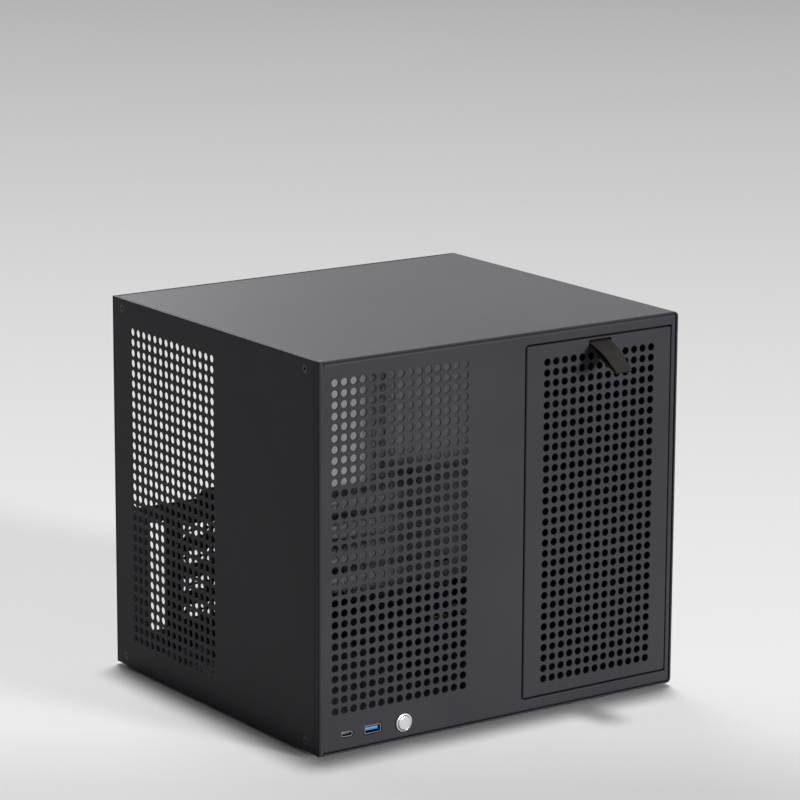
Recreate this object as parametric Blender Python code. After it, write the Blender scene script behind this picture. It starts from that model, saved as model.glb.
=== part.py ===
"""Sheet-metal case for a small storage server, in metres, front facing -Y.

Sizes along the case are measured from the front lower left corner of the body:
x to the right, y to the back, z up. CASE_SHIFT then puts the origin under the middle.
"""

import math

import bmesh
import bpy
from mathutils import Matrix, Vector

# Body
WIDTH = 0.300
DEPTH = 0.265
HEIGHT = 0.270
SHEET = 0.0012
GAP = 0.0003
SHELL_RADIUS = 0.0035
FOLD_RADIUS = 0.0018
FOLD_STEPS = 2
RETURN_DEPTH = 0.012
REAR_LIP = 0.008
RELIEF = 0.0008

# Feet
FOOT_HEIGHT = 0.0025
FOOT_RADIUS = 0.007
FOOT_INSET = 0.017

# Punched fields: true pitch, holes and rows, and about how far apart the fewer, larger modelled holes lie
PITCH = 0.0075
HOLE_DIAMETER = 0.00525
DOOR_COLUMNS = 13
SIDE_COLUMNS = 15
REAR_COLUMNS = 15
FRONT_SPACING = 0.0187
REAR_SPACING = 0.0225
HOLE_SIDES = 6
DRILL_SIDES = 8
FRONT_FIELD_X = 0.0127
FRONT_FIELD_Z = 0.0295
FIELD_FROM_TOP = 0.0155
FIELD_FROM_DOOR = 0.0513
SIDE_FIELD_FROM_REAR = 0.0266
SIDE_FIELD_Z = 0.0231
DOOR_FIELD_Z = 0.0115
REAR_FIELD_FROM_RIGHT = 0.0127
REAR_FIELD_Z = 0.0295

# Front panel's left return, which shows as a strip before the side panel
CORNER_STRIP = 0.0053

# Door, tipping out on two pins near its lower edge
DOOR_WIDTH = 0.125
DOOR_BOTTOM = 0.0108
DOOR_FROM_TOP = 0.010
DOOR_FROM_RIGHT = 0.006
DOOR_GAP = 0.001
DOOR_RIGHT_GAP = 0.0005
DOOR_DEPTH = 0.010
DOOR_LIP = 0.009
FRAME_LIP = 0.012
PIN_UP = 0.009
PIN_BACK = 0.0032
PIN_RADIUS = 0.00125
PIN_INSIDE = 0.004
MAGNET_RADIUS = 0.004
MAGNET_THICKNESS = 0.0022
MAGNET_SPREAD = 0.080

# Pull strap
STRAP_WIDTH = 0.0175
STRAP_PLY = 0.0014
STRAP_REACH = 0.030
STRAP_DROOP = 0.0145
STRAP_SLOPE_SHARE = 0.45
STRAP_FROM_TOP = 0.0046
STRAP_SPLIT = 0.0004
STRAP_BULGE = 0.0011
STRAP_STEPS = 10
STRAP_TURN_STEPS = 5
SLOT_PLAY = 0.0009
STRAP_BAR_RADIUS = 0.0014
STRAP_BAR_LENGTH = 0.024

# Front ports and power button
PORT_Z = 0.0123
USB_C_X = 0.0224
USB_C_WIDTH = 0.00894
USB_C_HEIGHT = 0.00316
USB_C_LENGTH = 0.009
USB_A_X = 0.0433
USB_A_WIDTH = 0.0131
USB_A_HEIGHT = 0.0057
USB_A_LENGTH = 0.014
PORT_WALL = 0.0004
PORT_PLAY = 0.0007
PORT_SIT = 0.0002
TONGUE_HEIGHT = 0.0018
TONGUE_BASE = 0.003
TONGUE_SIT = 0.0015
USB_C_TONGUE_HEIGHT = 0.0007
BOARD_THICKNESS = 0.0012
BOARD_DEPTH = 0.0215
BOARD_MARGIN = 0.0045
BOARD_FRONT = 0.0035
BRACKET_WEB_Y = 0.0155
BRACKET_FOOT = 0.011
BUTTON_X = 0.0681
BEZEL_RADIUS = 0.0065
BEZEL_HEIGHT = 0.0012
BODY_RADIUS = 0.0056
BODY_LENGTH = 0.018
CAP_RADIUS = 0.0049
CAP_PROUD = 0.0006
CAP_LENGTH = 0.0058
BUTTON_TRAVEL = 0.001
NUT_RADIUS = 0.0081
NUT_THICKNESS = 0.0025

# Screws
SCREW_RADIUS = 0.0014
SCREW_LENGTH = 0.007
COUNTERSINK_RADIUS = 0.0030
PAN_HEAD_RADIUS = 0.0028
PAN_HEAD_HEIGHT = 0.0017
SIDE_SCREW_FRONT = 0.0168
SIDE_SCREW_REAR = 0.0126
SIDE_SCREW_EDGE = 0.0072
REAR_SCREW_EDGE = 0.0046
REAR_SCREW_LEFT = 0.018
REAR_SCREW_RIGHT = 0.020
REAR_SCREW_HEIGHTS = (0.090, 0.180)

# Power supply opening, for a unit standing on its edge
SUPPLY_LEFT = 0.006
SUPPLY_BOTTOM = 0.107
SUPPLY_FROM_TOP = 0.013
SUPPLY_WIDTH = 0.086
SUPPLY_RIM = 0.005
SUPPLY_HOLE_EDGE = 0.006
SUPPLY_HOLE_OFFSET = 0.016
SUPPLY_EAR = 0.0065
SUPPLY_HOLE_RADIUS = 0.0019

# Motherboard tray, its standoffs, the port opening and the expansion slots
TRAY_BESIDE_CAGE = 0.0118
TRAY_FRONT = 0.0165
TRAY_REAR_CLEARANCE = 0.003
TRAY_RETURN = 0.008
BOARD_SIDE = 0.2438
MAINBOARD_FRONT = 0.0187
MAINBOARD_BOTTOM = 0.0142
MAINBOARD_FROM_TOP = 0.012
MAINBOARD_REAR_GAP = 0.0013
MAINBOARD_THICKNESS = 0.0016
STANDOFF_HEIGHT = 0.00635
STANDOFF_RADIUS = 0.0030
STANDOFF_STUD = 0.0016
STANDOFF_BORE = 0.0013
STANDOFF_BACKS = (0.01016, 0.1651, 0.23749)
STANDOFF_DROPS = (0.01016, 0.16764, 0.21336)
STANDOFF_REAR_DROP = 0.03302
PORT_OPENING_DEPTH = 0.04445
PORT_OPENING_UNDER = 0.0038
PORT_OPENING_BOTTOM = 0.10305
PORT_OPENING_FROM_TOP = 0.0082
SLOT_COUNT = 4
SLOT_PITCH = 0.02032
SLOT_HEIGHT = 0.013
SLOT_FIRST_Z = 0.0282
SLOT_LEFT = 0.052
COVER_LEFT = 0.0435
COVER_HEIGHT = 0.0184
COVER_THICKNESS = 0.001
COVER_SCREW_INSET = 0.0045
COVER_VENTS = 5
COVER_VENT_RADIUS = 0.0042
SLIT_LEFT = 0.027
SLIT_WIDTH = 0.014

# Cable window in the tray: front and rear edges as shares of the depth, lower and upper ones of the height
TRAY_WINDOW_SHARES = (0.1434, 0.3245, 0.2000, 0.2963)

# Drive cage: two ladders of ledges
BAY_PITCH = 0.0285
BAY_FIRST_Z = 0.0225
DRIVE_WIDTH = 0.1016
DRIVE_PLAY = 0.0012
CAGE_FRONT = 0.018
CAGE_DEPTH = 0.182
CAGE_RETURN = 0.012
LEDGE_DEPTH = 0.008
LEDGE_START = 0.010
LEDGE_REAR = 0.022
LEDGE_WINDOW = 0.012

# Worked out from the sizes above
FLOOR_Z = FOOT_HEIGHT
ROOF_Z = FOOT_HEIGHT + HEIGHT
SEAT = SHEET + GAP
DOOR_HEIGHT = HEIGHT - DOOR_BOTTOM - DOOR_FROM_TOP
DOOR_LEFT = WIDTH - DOOR_FROM_RIGHT - DOOR_WIDTH
DOOR_MIDDLE = DOOR_LEFT + DOOR_WIDTH / 2
FIELD_ROWS = 1 + round((HEIGHT - FRONT_FIELD_Z - FIELD_FROM_TOP) / PITCH)
FRONT_COLUMNS = 1 + round((DOOR_LEFT - FRONT_FIELD_X - FIELD_FROM_DOOR) / PITCH)
BAY_COUNT = math.floor((HEIGHT - BAY_FIRST_Z) / BAY_PITCH)
CAGE_HALF = DRIVE_WIDTH / 2 + DRIVE_PLAY + SHEET
TRAY_X = DOOR_MIDDLE - CAGE_HALF - TRAY_BESIDE_CAGE
REAR_FACE = DEPTH
REAR_INNER = DEPTH - SHEET
SUPPLY_TOP = HEIGHT - SUPPLY_FROM_TOP
MAINBOARD_REAR = REAR_INNER - MAINBOARD_REAR_GAP
MAINBOARD_TOP = FOOT_HEIGHT + HEIGHT - MAINBOARD_FROM_TOP
STRAP_Z = FLOOR_Z + DOOR_BOTTOM + DOOR_HEIGHT - STRAP_FROM_TOP
STRAP_HALF = (STRAP_PLY + STRAP_SPLIT) / 2
FRONTMOST = -(STRAP_REACH + STRAP_HALF + STRAP_PLY / 2)
REARMOST = DEPTH + PAN_HEAD_HEIGHT + GAP
CASE_SHIFT = Vector((-WIDTH / 2, -(FRONTMOST + REARMOST) / 2, 0))
HINGE = Vector((DOOR_MIDDLE, PIN_BACK, FLOOR_Z + DOOR_BOTTOM + PIN_UP))

X = Vector((1, 0, 0))
Y = Vector((0, 1, 0))
Z = Vector((0, 0, 1))


def up(height):
    """Height above the body's lower face, as a height above the table."""
    return FLOOR_Z + height


def material(name, colour, roughness, metallic):
    """A Principled BSDF of one colour."""
    made = bpy.data.materials.new(name)
    made.use_nodes = True
    shader = made.node_tree.nodes["Principled BSDF"]
    shader.inputs["Base Color"].default_value = (*colour, 1)
    shader.inputs["Roughness"].default_value = roughness
    shader.inputs["Metallic"].default_value = metallic
    made.diffuse_color = (*colour, 1)
    return made


def add_object(name, bm, finish=None, origin=Vector((0, 0, 0)), smooth=False):
    """Turns a bmesh in case sizes into an object whose origin lies at `origin`."""
    mesh = bpy.data.meshes.new(name)
    bm.to_mesh(mesh)
    bm.free()
    mesh.transform(Matrix.Translation(-origin))
    if finish:
        mesh.materials.append(finish)
    if smooth:
        mesh.shade_smooth()
        mesh.set_sharp_from_angle(angle=math.radians(35))
    obj = bpy.data.objects.new(name, mesh)
    bpy.context.scene.collection.objects.link(obj)
    obj.location = CASE_SHIFT + origin
    return obj


def add_tool(name, bm, target, operation="DIFFERENCE"):
    """Adds a hidden closed shape and lets the target cut it away or take it on."""
    bmesh.ops.recalc_face_normals(bm, faces=bm.faces)
    tool = add_object(name, bm)
    tool.hide_render = True
    tool.display_type = "WIRE"
    cut = target.modifiers.new(name, "BOOLEAN")
    cut.operation = operation
    cut.solver = "EXACT"
    cut.object = tool
    return tool


def add_box(bm, low, high):
    """A box between two corners."""
    low = Vector(low)
    high = Vector(high)
    grown = bmesh.ops.create_cube(bm, size=1)["verts"]
    for vert in grown:
        for axis in range(3):
            vert.co[axis] = high[axis] if vert.co[axis] > 0 else low[axis]


def ring_frame(axis):
    """Two directions square to an axis, in right-hand order with it."""
    first = Y if abs(axis.x) > 0.5 else X
    return first, axis.cross(first)


def add_turned(bm, centre, axis, profile, steps):
    """A closed turned solid: profile lists (radius, height along axis), from axis to axis."""
    first, second = ring_frame(axis)
    rings = []
    for radius, height in profile:
        base = centre + axis * height
        if radius == 0:
            rings.append([bm.verts.new(base)])
            continue
        turns = [2 * math.pi * k / steps for k in range(steps)]
        spokes = [first * math.cos(turn) + second * math.sin(turn) for turn in turns]
        rings.append([bm.verts.new(base + radius * spoke) for spoke in spokes])
    for lower, upper in zip(rings, rings[1:]):
        for k in range(steps):
            corners = [lower[k % len(lower)], lower[(k + 1) % len(lower)]]
            corners += [upper[(k + 1) % len(upper)], upper[k % len(upper)]]
            bm.faces.new(list(dict.fromkeys(corners)))
    bmesh.ops.recalc_face_normals(bm, faces=bm.faces)


def add_prism(bm, outline, axis, low, high):
    """A prism of an outline of points, between two distances along an axis."""
    ends = [[bm.verts.new(point + axis * height) for point in outline] for height in (low, high)]
    count = len(outline)
    for k in range(count):
        bm.faces.new((ends[0][k], ends[0][(k + 1) % count], ends[1][(k + 1) % count], ends[1][k]))
    bm.faces.new(reversed(ends[0]))
    bm.faces.new(ends[1])


def polygon(centre, axis, radius, sides):
    """Corners of a regular polygon round a point, flats across the first direction."""
    first, second = ring_frame(axis)
    turns = [2 * math.pi * (k + 0.5) / sides for k in range(sides)]
    return [centre + radius * (first * math.cos(t) + second * math.sin(t)) for t in turns]


def filleted(corners, radii):
    """Corner points of a path in two dimensions, its inner corners rounded by the radii."""
    path = [Vector(corners[0])]
    for before, corner, after, radius in zip(corners, corners[1:], corners[2:], radii):
        corner = Vector(corner)
        into = (corner - Vector(before)).normalized()
        out = (Vector(after) - corner).normalized()
        middle = corner - into * radius + out * radius
        for step in range(FOLD_STEPS + 1):
            turn = math.pi / 2 * step / FOLD_STEPS
            path.append(middle + radius * (into * math.sin(turn) - out * math.cos(turn)))
    path.append(Vector(corners[-1]))
    return path


def bridge(bm, lower, upper):
    """Faces between two rows of verts."""
    for k in range(len(lower) - 1):
        bm.faces.new((lower[k], lower[k + 1], upper[k + 1], upper[k]))


def add_return(bm, edge, outward, inward, depth):
    """Folds a strip from a row of verts: a quarter turn, then flat to a full depth along inward."""
    return add_wall(bm, [(vert, outward) for vert in edge], inward, depth)


def add_wall(bm, run, inward, depth, closed=False):
    """Folds a wall from a run of (vert, outward direction) pairs, which turns with its corners."""
    levels = []
    for step in range(1, FOLD_STEPS + 1):
        turn = math.pi / 2 * step / FOLD_STEPS
        levels.append((FOLD_RADIUS * math.sin(turn), FOLD_RADIUS * (1 - math.cos(turn))))
    levels.append((FOLD_RADIUS, depth))
    row = [vert for vert, away in run]
    for out, back in levels:
        fresh = [bm.verts.new(vert.co + away * out + inward * back) for vert, away in run]
        for k in range(len(run) if closed else len(run) - 1):
            after = (k + 1) % len(run)
            bm.faces.new(list(dict.fromkeys((row[k], row[after], fresh[after], fresh[k]))))
        row = fresh
    return row


def outer_corner(vert, first, second):
    """A closed outer corner for a wall's run: one vert, with directions that turn round it."""
    turns = [math.pi / 2 * step / FOLD_STEPS for step in range(FOLD_STEPS + 1)]
    return [(vert, first * math.cos(turn) + second * math.sin(turn)) for turn in turns]


def inner_corner(bm, square, start, finish, first, second):
    """Rounds a square corner of an opening from start to finish, and gives the wall's run round it."""
    radius = (finish.co - start.co).dot(first)
    centre = start.co + first * radius
    run = [(start, first)]
    for step in range(1, FOLD_STEPS):
        turn = math.pi / 2 * step / FOLD_STEPS
        away = first * math.cos(turn) + second * math.sin(turn)
        run.append((bm.verts.new(centre - away * radius), away))
    run.append((finish, second))
    bm.faces.new([square] + [vert for vert, away in run])
    return run


def add_grid(bm, place, across, along, left_out=lambda a, b: False):
    """Faces between grid lines; left_out says which cells stay open. Returns verts by line numbers."""
    verts = {}
    for i in range(len(across) - 1):
        for j in range(len(along) - 1):
            if left_out((across[i] + across[i + 1]) / 2, (along[j] + along[j + 1]) / 2):
                continue
            cell = ((i, j), (i + 1, j), (i + 1, j + 1), (i, j + 1))
            for key in cell:
                if key not in verts:
                    verts[key] = bm.verts.new(place(across[key[0]], along[key[1]]))
            bm.faces.new([verts[key] for key in cell])
    return verts


def face_outwards(bm, outside):
    """Makes an open skin's faces agree, with its first face pointing along outside."""
    bm.faces.ensure_lookup_table()
    bmesh.ops.recalc_face_normals(bm, faces=bm.faces)
    if bm.faces[0].normal.dot(outside) < 0:
        bmesh.ops.reverse_faces(bm, faces=bm.faces)


def add_sheet(name, bm, outside, finish, origin=Vector((0, 0, 0))):
    """A folded sheet: the skin in bm thickened to its inner side."""
    face_outwards(bm, outside)
    obj = add_object(name, bm, finish, origin)
    thick = obj.modifiers.new("thickness", "SOLIDIFY")
    thick.thickness = SHEET
    thick.offset = -1
    thick.use_even_offset = True
    return obj


def punched(name, target, first, across, columns, axis, spacing=FRONT_SPACING):
    """Cuts a punched field with fewer, larger holes that leave the same share of it open."""
    width = columns * PITCH
    height = FIELD_ROWS * PITCH
    columns = round(width / spacing)
    rows = round(height / spacing)
    step = width / columns
    rise = height / rows
    radius = HOLE_DIAMETER / 2 / PITCH * min(step, rise)
    corner = first - (across + Z) * PITCH / 2
    bm = bmesh.new()
    for i in range(columns):
        for j in range(rows):
            centre = corner + across * (i + 0.5) * step + Z * (j + 0.5) * rise
            add_prism(bm, polygon(centre, axis, radius, HOLE_SIDES), axis, -2 * SHEET, 2 * SHEET)
    add_tool(name, bm, target)


def screw_profile(head):
    """Profile of a screw from its tip up: shank, then a countersunk or a pan head."""
    if head == "countersunk":
        tail = [(SCREW_RADIUS, -SHEET), (COUNTERSINK_RADIUS, 0), (0, 0)]
    else:
        tail = [(SCREW_RADIUS, 0), (PAN_HEAD_RADIUS, 0), (PAN_HEAD_RADIUS - GAP, PAN_HEAD_HEIGHT)]
        tail.append((0, PAN_HEAD_HEIGHT))
    return [(0, -SCREW_LENGTH), (SCREW_RADIUS, -SCREW_LENGTH)] + tail


def add_screw(name, head, seat, axis, finish):
    """A screw whose head's seat, or flush face, is at `seat`, driven against axis."""
    bm = bmesh.new()
    add_turned(bm, seat, axis, screw_profile(head), DRILL_SIDES)
    return add_object(name, bm, finish, smooth=True)


def drill(name, target, centres, axis, radius, depth=4 * SHEET, sides=DRILL_SIDES):
    """Round holes through a sheet at points on it."""
    bm = bmesh.new()
    for centre in centres:
        add_prism(bm, polygon(centre, axis, radius, sides), axis, -depth, depth)
    add_tool(name, bm, target)


def side_screw_places():
    """The left panel's four corner screws, on its outer face."""
    ys = (SIDE_SCREW_FRONT, DEPTH - SIDE_SCREW_REAR)
    zs = (up(SIDE_SCREW_EDGE), ROOF_Z - SIDE_SCREW_EDGE)
    return [Vector((0, y, z)) for z in zs for y in ys]


def rear_screw_places():
    """The rear panel's six screws, on its outer face, over the shell's lips."""
    xs = (REAR_SCREW_LEFT, WIDTH - REAR_SCREW_RIGHT)
    zs = (up(REAR_SCREW_EDGE), ROOF_Z - REAR_SCREW_EDGE)
    places = [Vector((x, REAR_FACE, z)) for z in zs for x in xs]
    places += [Vector((WIDTH - REAR_SCREW_EDGE, REAR_FACE, up(z))) for z in REAR_SCREW_HEIGHTS]
    return places


def standoff_places():
    """The nine standoffs of the motherboard, on the tray's left face, spread as the board's room allows."""
    length = (MAINBOARD_REAR - MAINBOARD_FRONT) / BOARD_SIDE
    height = (MAINBOARD_TOP - up(MAINBOARD_BOTTOM)) / BOARD_SIDE
    places = []
    for back in STANDOFF_BACKS:
        for drop in STANDOFF_DROPS:
            at_top_rear = back == STANDOFF_BACKS[0] and drop == STANDOFF_DROPS[0]
            fall = STANDOFF_REAR_DROP if at_top_rear else drop
            places.append(Vector((TRAY_X, MAINBOARD_REAR - back * length, MAINBOARD_TOP - fall * height)))
    return places


def cover_middles():
    """Middle height of each expansion slot."""
    return [up(SLOT_FIRST_Z + k * SLOT_PITCH) for k in range(SLOT_COUNT)]


def build_shell(paint):
    """Top, right side and bottom in one sheet, with returns on the left and lips at the back."""
    left = SEAT
    corners = [
        (left, FLOOR_Z + RETURN_DEPTH),
        (left, FLOOR_Z),
        (WIDTH, FLOOR_Z),
        (WIDTH, ROOF_Z),
        (left, ROOF_Z),
        (left, ROOF_Z - RETURN_DEPTH),
    ]
    path = filleted(corners, (FOLD_RADIUS, SHELL_RADIUS, SHELL_RADIUS, FOLD_RADIUS))
    near = left + FOLD_RADIUS + RELIEF
    far = WIDTH - REAR_LIP - RELIEF
    low = FLOOR_Z + SHELL_RADIUS + RELIEF
    high = ROOF_Z - SHELL_RADIUS - RELIEF
    turn = FOLD_STEPS + 1
    stretches = (
        (path[:turn + 1], None),
        ([Vector((near, FLOOR_Z)), Vector((far, FLOOR_Z))], Z),
        ([Vector((far + RELIEF, FLOOR_Z))] + path[turn + 1:2 * turn + 1], None),
        ([Vector((WIDTH, low)), Vector((WIDTH, high))], -X),
        (path[2 * turn + 1:3 * turn + 1] + [Vector((far + RELIEF, ROOF_Z))], None),
        ([Vector((far, ROOF_Z)), Vector((near, ROOF_Z))], -Z),
        (path[3 * turn + 1:], None),
    )
    rear = REAR_INNER - GAP
    bm = bmesh.new()
    front_row = []
    rear_row = []
    for points, inward in stretches:
        for p in points:
            behind_corner = p.x < left + FOLD_RADIUS - GAP
            front_row.append(bm.verts.new((p.x, SEAT + FOLD_RADIUS if behind_corner else 0, p.y)))
        run = [bm.verts.new((p.x, rear - FOLD_RADIUS, p.y)) for p in points]
        rear_row += run
        if inward:
            add_return(bm, run, Y, inward, REAR_LIP)
        else:
            bridge(bm, run, [bm.verts.new(vert.co + Y * FOLD_RADIUS) for vert in run])
    bridge(bm, front_row, rear_row)
    shell = add_sheet("shell", bm, -X, paint)
    drill("shell side holes", shell, side_screw_places(), X, SCREW_RADIUS + GAP)
    drill("shell rear holes", shell, rear_screw_places(), Y, SCREW_RADIUS + GAP)
    return shell


def front_lines():
    """Grid lines of the front panel: its edges, the door opening and the ends of its corners."""
    right = WIDTH - SEAT
    low = FLOOR_Z + SEAT
    high = ROOF_Z - SEAT
    open_left = DOOR_LEFT - DOOR_GAP - FOLD_RADIUS
    open_right = DOOR_LEFT + DOOR_WIDTH + DOOR_RIGHT_GAP
    open_low = up(DOOR_BOTTOM) - DOOR_GAP - FOLD_RADIUS
    open_high = up(DOOR_BOTTOM + DOOR_HEIGHT) + DOOR_GAP + FOLD_RADIUS
    rounding = 2 * FOLD_RADIUS + DOOR_GAP
    corner_end = SEAT + FOLD_RADIUS + GAP
    across = [FOLD_RADIUS, corner_end, corner_end + RELIEF, open_left, open_left + rounding]
    across += [open_right - RELIEF, open_right, right - FOLD_RADIUS]
    along = [low, low + FOLD_RADIUS, open_low, open_low + rounding]
    along += [open_high - rounding, open_high, high - FOLD_RADIUS, high]
    return across, along


def build_front_panel(paint):
    """Front sheet with returns all round and a framed opening for the door."""
    across, along = front_lines()
    bm = bmesh.new()

    def open_cell(a, b):
        in_opening = across[3] < a < across[6] and along[2] < b < along[5]
        return in_opening or (a > across[1] and not along[1] < b < along[6])

    verts = add_grid(bm, lambda a, b: Vector((a, 0, b)), across, along, open_cell)
    top_run = [(verts[i, 6], Z) for i in range(2, 7)] + outer_corner(verts[7, 6], Z, X)
    right_run = [(verts[7, j], X) for j in range(5, 1, -1)] + outer_corner(verts[7, 1], X, -Z)
    bottom_run = [(verts[i, 1], -Z) for i in range(6, 1, -1)]
    add_wall(bm, top_run + right_run + bottom_run, Y, RETURN_DEPTH)
    ends = [bm.verts.new((FOLD_RADIUS, 0, z)) for z in (FLOOR_Z, ROOF_Z)]
    add_return(bm, [ends[0]] + [verts[0, j] for j in range(8)] + [ends[1]], -X, Y, CORNER_STRIP)
    frame_run = [(verts[5, 5], -Z)] + inner_corner(bm, verts[3, 5], verts[4, 5], verts[3, 4], -Z, X)
    frame_run += inner_corner(bm, verts[3, 2], verts[3, 3], verts[4, 2], X, Z) + [(verts[5, 2], Z)]
    lip_face = DOOR_DEPTH + MAGNET_THICKNESS + 2 * GAP
    frame = add_wall(bm, frame_run, Y, lip_face - FOLD_RADIUS)
    add_return(bm, frame[:2], Y, -Z, FRAME_LIP)
    panel = add_sheet("front_panel", bm, -Y, paint)
    first = Vector((FRONT_FIELD_X, 0, up(FRONT_FIELD_Z)))
    punched("front field", panel, first, X, FRONT_COLUMNS, Y)
    cut_ports(panel)
    drill("hinge holes", panel, [HINGE - X * DOOR_WIDTH / 2, HINGE + X * DOOR_WIDTH / 2], X,
          PIN_RADIUS + GAP, DOOR_FROM_RIGHT)
    return panel


def cut_ports(panel):
    """Cut-outs for the two sockets and the power button."""
    bm = bmesh.new()
    for x, width, height in ((USB_C_X, USB_C_WIDTH, USB_C_HEIGHT), (USB_A_X, USB_A_WIDTH, USB_A_HEIGHT)):
        half = Vector((width / 2 + PORT_PLAY, 0, height / 2 + PORT_PLAY))
        rounding = half.z if x == USB_C_X else PORT_PLAY * 2
        outline = rounded_outline(Vector((x, 0, up(PORT_Z))), half.x, half.z, rounding)
        add_prism(bm, outline, Y, -SHEET, 2 * SHEET)
    button = Vector((BUTTON_X, 0, up(PORT_Z)))
    add_prism(bm, polygon(button, Y, BODY_RADIUS + GAP, 20), Y, -SHEET, 2 * SHEET)
    add_tool("port cut-outs", bm, panel)


def rounded_outline(centre, half_x, half_z, radius, steps=3):
    """A rectangle with rounded corners in the XZ plane."""
    points = []
    for quarter, (sx, sz) in enumerate(((1, 1), (-1, 1), (-1, -1), (1, -1))):
        middle = centre + Vector((sx * (half_x - radius), 0, sz * (half_z - radius)))
        for step in range(steps + 1):
            turn = math.pi / 2 * (quarter + step / steps)
            points.append(middle + radius * Vector((math.cos(turn), 0, math.sin(turn))))
    return unique(points)


def unique(points):
    """The points of a closed outline, without repeats."""
    kept = []
    for point in points:
        if not kept or (point - kept[-1]).length > GAP / 10:
            kept.append(point)
    if (kept[0] - kept[-1]).length < GAP / 10:
        kept.pop()
    return kept


def build_door(paint):
    """Punched pan with returns on four sides, a lip inside its top and a slot for the strap."""
    right = DOOR_LEFT + DOOR_WIDTH
    low = up(DOOR_BOTTOM)
    high = low + DOOR_HEIGHT
    inset = FOLD_RADIUS + RELIEF
    across = [DOOR_LEFT + FOLD_RADIUS, DOOR_LEFT + inset, right - inset, right - FOLD_RADIUS]
    along = [low + FOLD_RADIUS, high - FOLD_RADIUS]
    bm = bmesh.new()
    verts = add_grid(bm, lambda a, b: Vector((a, 0, b)), across, along)
    run = [(verts[1, 1], Z), (verts[2, 1], Z)] + outer_corner(verts[3, 1], Z, X)
    run += outer_corner(verts[3, 0], X, -Z) + [(verts[2, 0], -Z), (verts[1, 0], -Z)]
    run += outer_corner(verts[0, 0], -Z, -X) + outer_corner(verts[0, 1], -X, Z)
    wall = add_wall(bm, run, Y, DOOR_DEPTH - FOLD_RADIUS, closed=True)
    add_return(bm, wall[:2], Y, -Z, DOOR_LIP)
    door = add_sheet("door", bm, -Y, paint, HINGE)
    field_half = PITCH * (DOOR_COLUMNS - 1) / 2
    first = Vector((DOOR_MIDDLE - field_half, 0, low + DOOR_FIELD_Z))
    punched("door field", door, first, X, DOOR_COLUMNS, Y)
    bm = bmesh.new()
    half_slot = Vector((STRAP_WIDTH / 2 + SLOT_PLAY, SHEET, STRAP_HALF + STRAP_PLY / 2 + SLOT_PLAY))
    slot = Vector((DOOR_MIDDLE, SHEET / 2, STRAP_Z))
    add_box(bm, slot - half_slot, slot + half_slot)
    add_tool("strap slot", bm, door)
    pins = [HINGE - X * DOOR_WIDTH / 2, HINGE + X * DOOR_WIDTH / 2]
    drill("door pin holes", door, pins, X, PIN_RADIUS + GAP, 2 * SHEET)
    return door


def strap_loop():
    """Mid-line of the strap's closed loop in (y, z), with its outward directions."""
    bar = Vector((SHEET + GAP + STRAP_BAR_RADIUS, 0))
    bar_radius = STRAP_BAR_RADIUS + GAP + STRAP_PLY / 2

    def spine(t):
        fall = STRAP_DROOP * t * (STRAP_SLOPE_SHARE + (1 - STRAP_SLOPE_SHARE) * t)
        return Vector((-STRAP_REACH * t, -fall))

    def across_spine(t):
        fall = STRAP_DROOP * (STRAP_SLOPE_SHARE + 2 * (1 - STRAP_SLOPE_SHARE) * t)
        return Vector((fall, -STRAP_REACH)).normalized()

    def half_gap(t):
        return STRAP_HALF + STRAP_BULGE * math.sin(math.pi * t) ** 2

    loop = []
    for k in range(STRAP_STEPS + 1):
        t = k / STRAP_STEPS
        loop.append((spine(t) - across_spine(t) * half_gap(t), -across_spine(t)))
    end = spine(1)
    for k in range(1, STRAP_TURN_STEPS):
        turn = math.pi * k / STRAP_TURN_STEPS
        tip = Vector((-across_spine(1).y, across_spine(1).x))
        away = -across_spine(1) * math.cos(turn) - tip * math.sin(turn)
        loop.append((end + away * STRAP_HALF, away))
    for k in range(STRAP_STEPS, -1, -1):
        t = k / STRAP_STEPS
        loop.append((spine(t) + across_spine(t) * half_gap(t), across_spine(t)))
    for k in range(STRAP_TURN_STEPS + 1):
        turn = math.pi * (k / STRAP_TURN_STEPS - 0.5)
        away = Vector((math.cos(turn), math.sin(turn)))
        loop.append((bar + away * bar_radius, away))
    return loop


def build_strap(leather):
    """The strap: a flat band run round its bar, out of the slot and back."""
    bm = bmesh.new()
    rings = []
    for point, away in strap_loop():
        ring = []
        for side, skin in ((-1, -1), (1, -1), (1, 1), (-1, 1)):
            spot = point + away * skin * STRAP_PLY / 2
            ring.append(bm.verts.new((DOOR_MIDDLE + side * STRAP_WIDTH / 2, spot.x, STRAP_Z + spot.y)))
        rings.append(ring)
    for k, ring in enumerate(rings):
        following = rings[(k + 1) % len(rings)]
        for c in range(4):
            bm.faces.new((ring[c], ring[(c + 1) % 4], following[(c + 1) % 4], following[c]))
    bmesh.ops.recalc_face_normals(bm, faces=bm.faces)
    return add_object("door_strap", bm, leather, HINGE, smooth=True)


def build_strap_bar(steel):
    """The bar behind the slot that the strap loops round."""
    bm = bmesh.new()
    half = STRAP_BAR_LENGTH / 2
    centre = Vector((DOOR_MIDDLE, SHEET + GAP + STRAP_BAR_RADIUS, STRAP_Z))
    profile = [(0, -half), (STRAP_BAR_RADIUS, -half), (STRAP_BAR_RADIUS, half), (0, half)]
    add_turned(bm, centre, X, profile, 10)
    add_object("strap_bar", bm, steel, HINGE, smooth=True)


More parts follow.
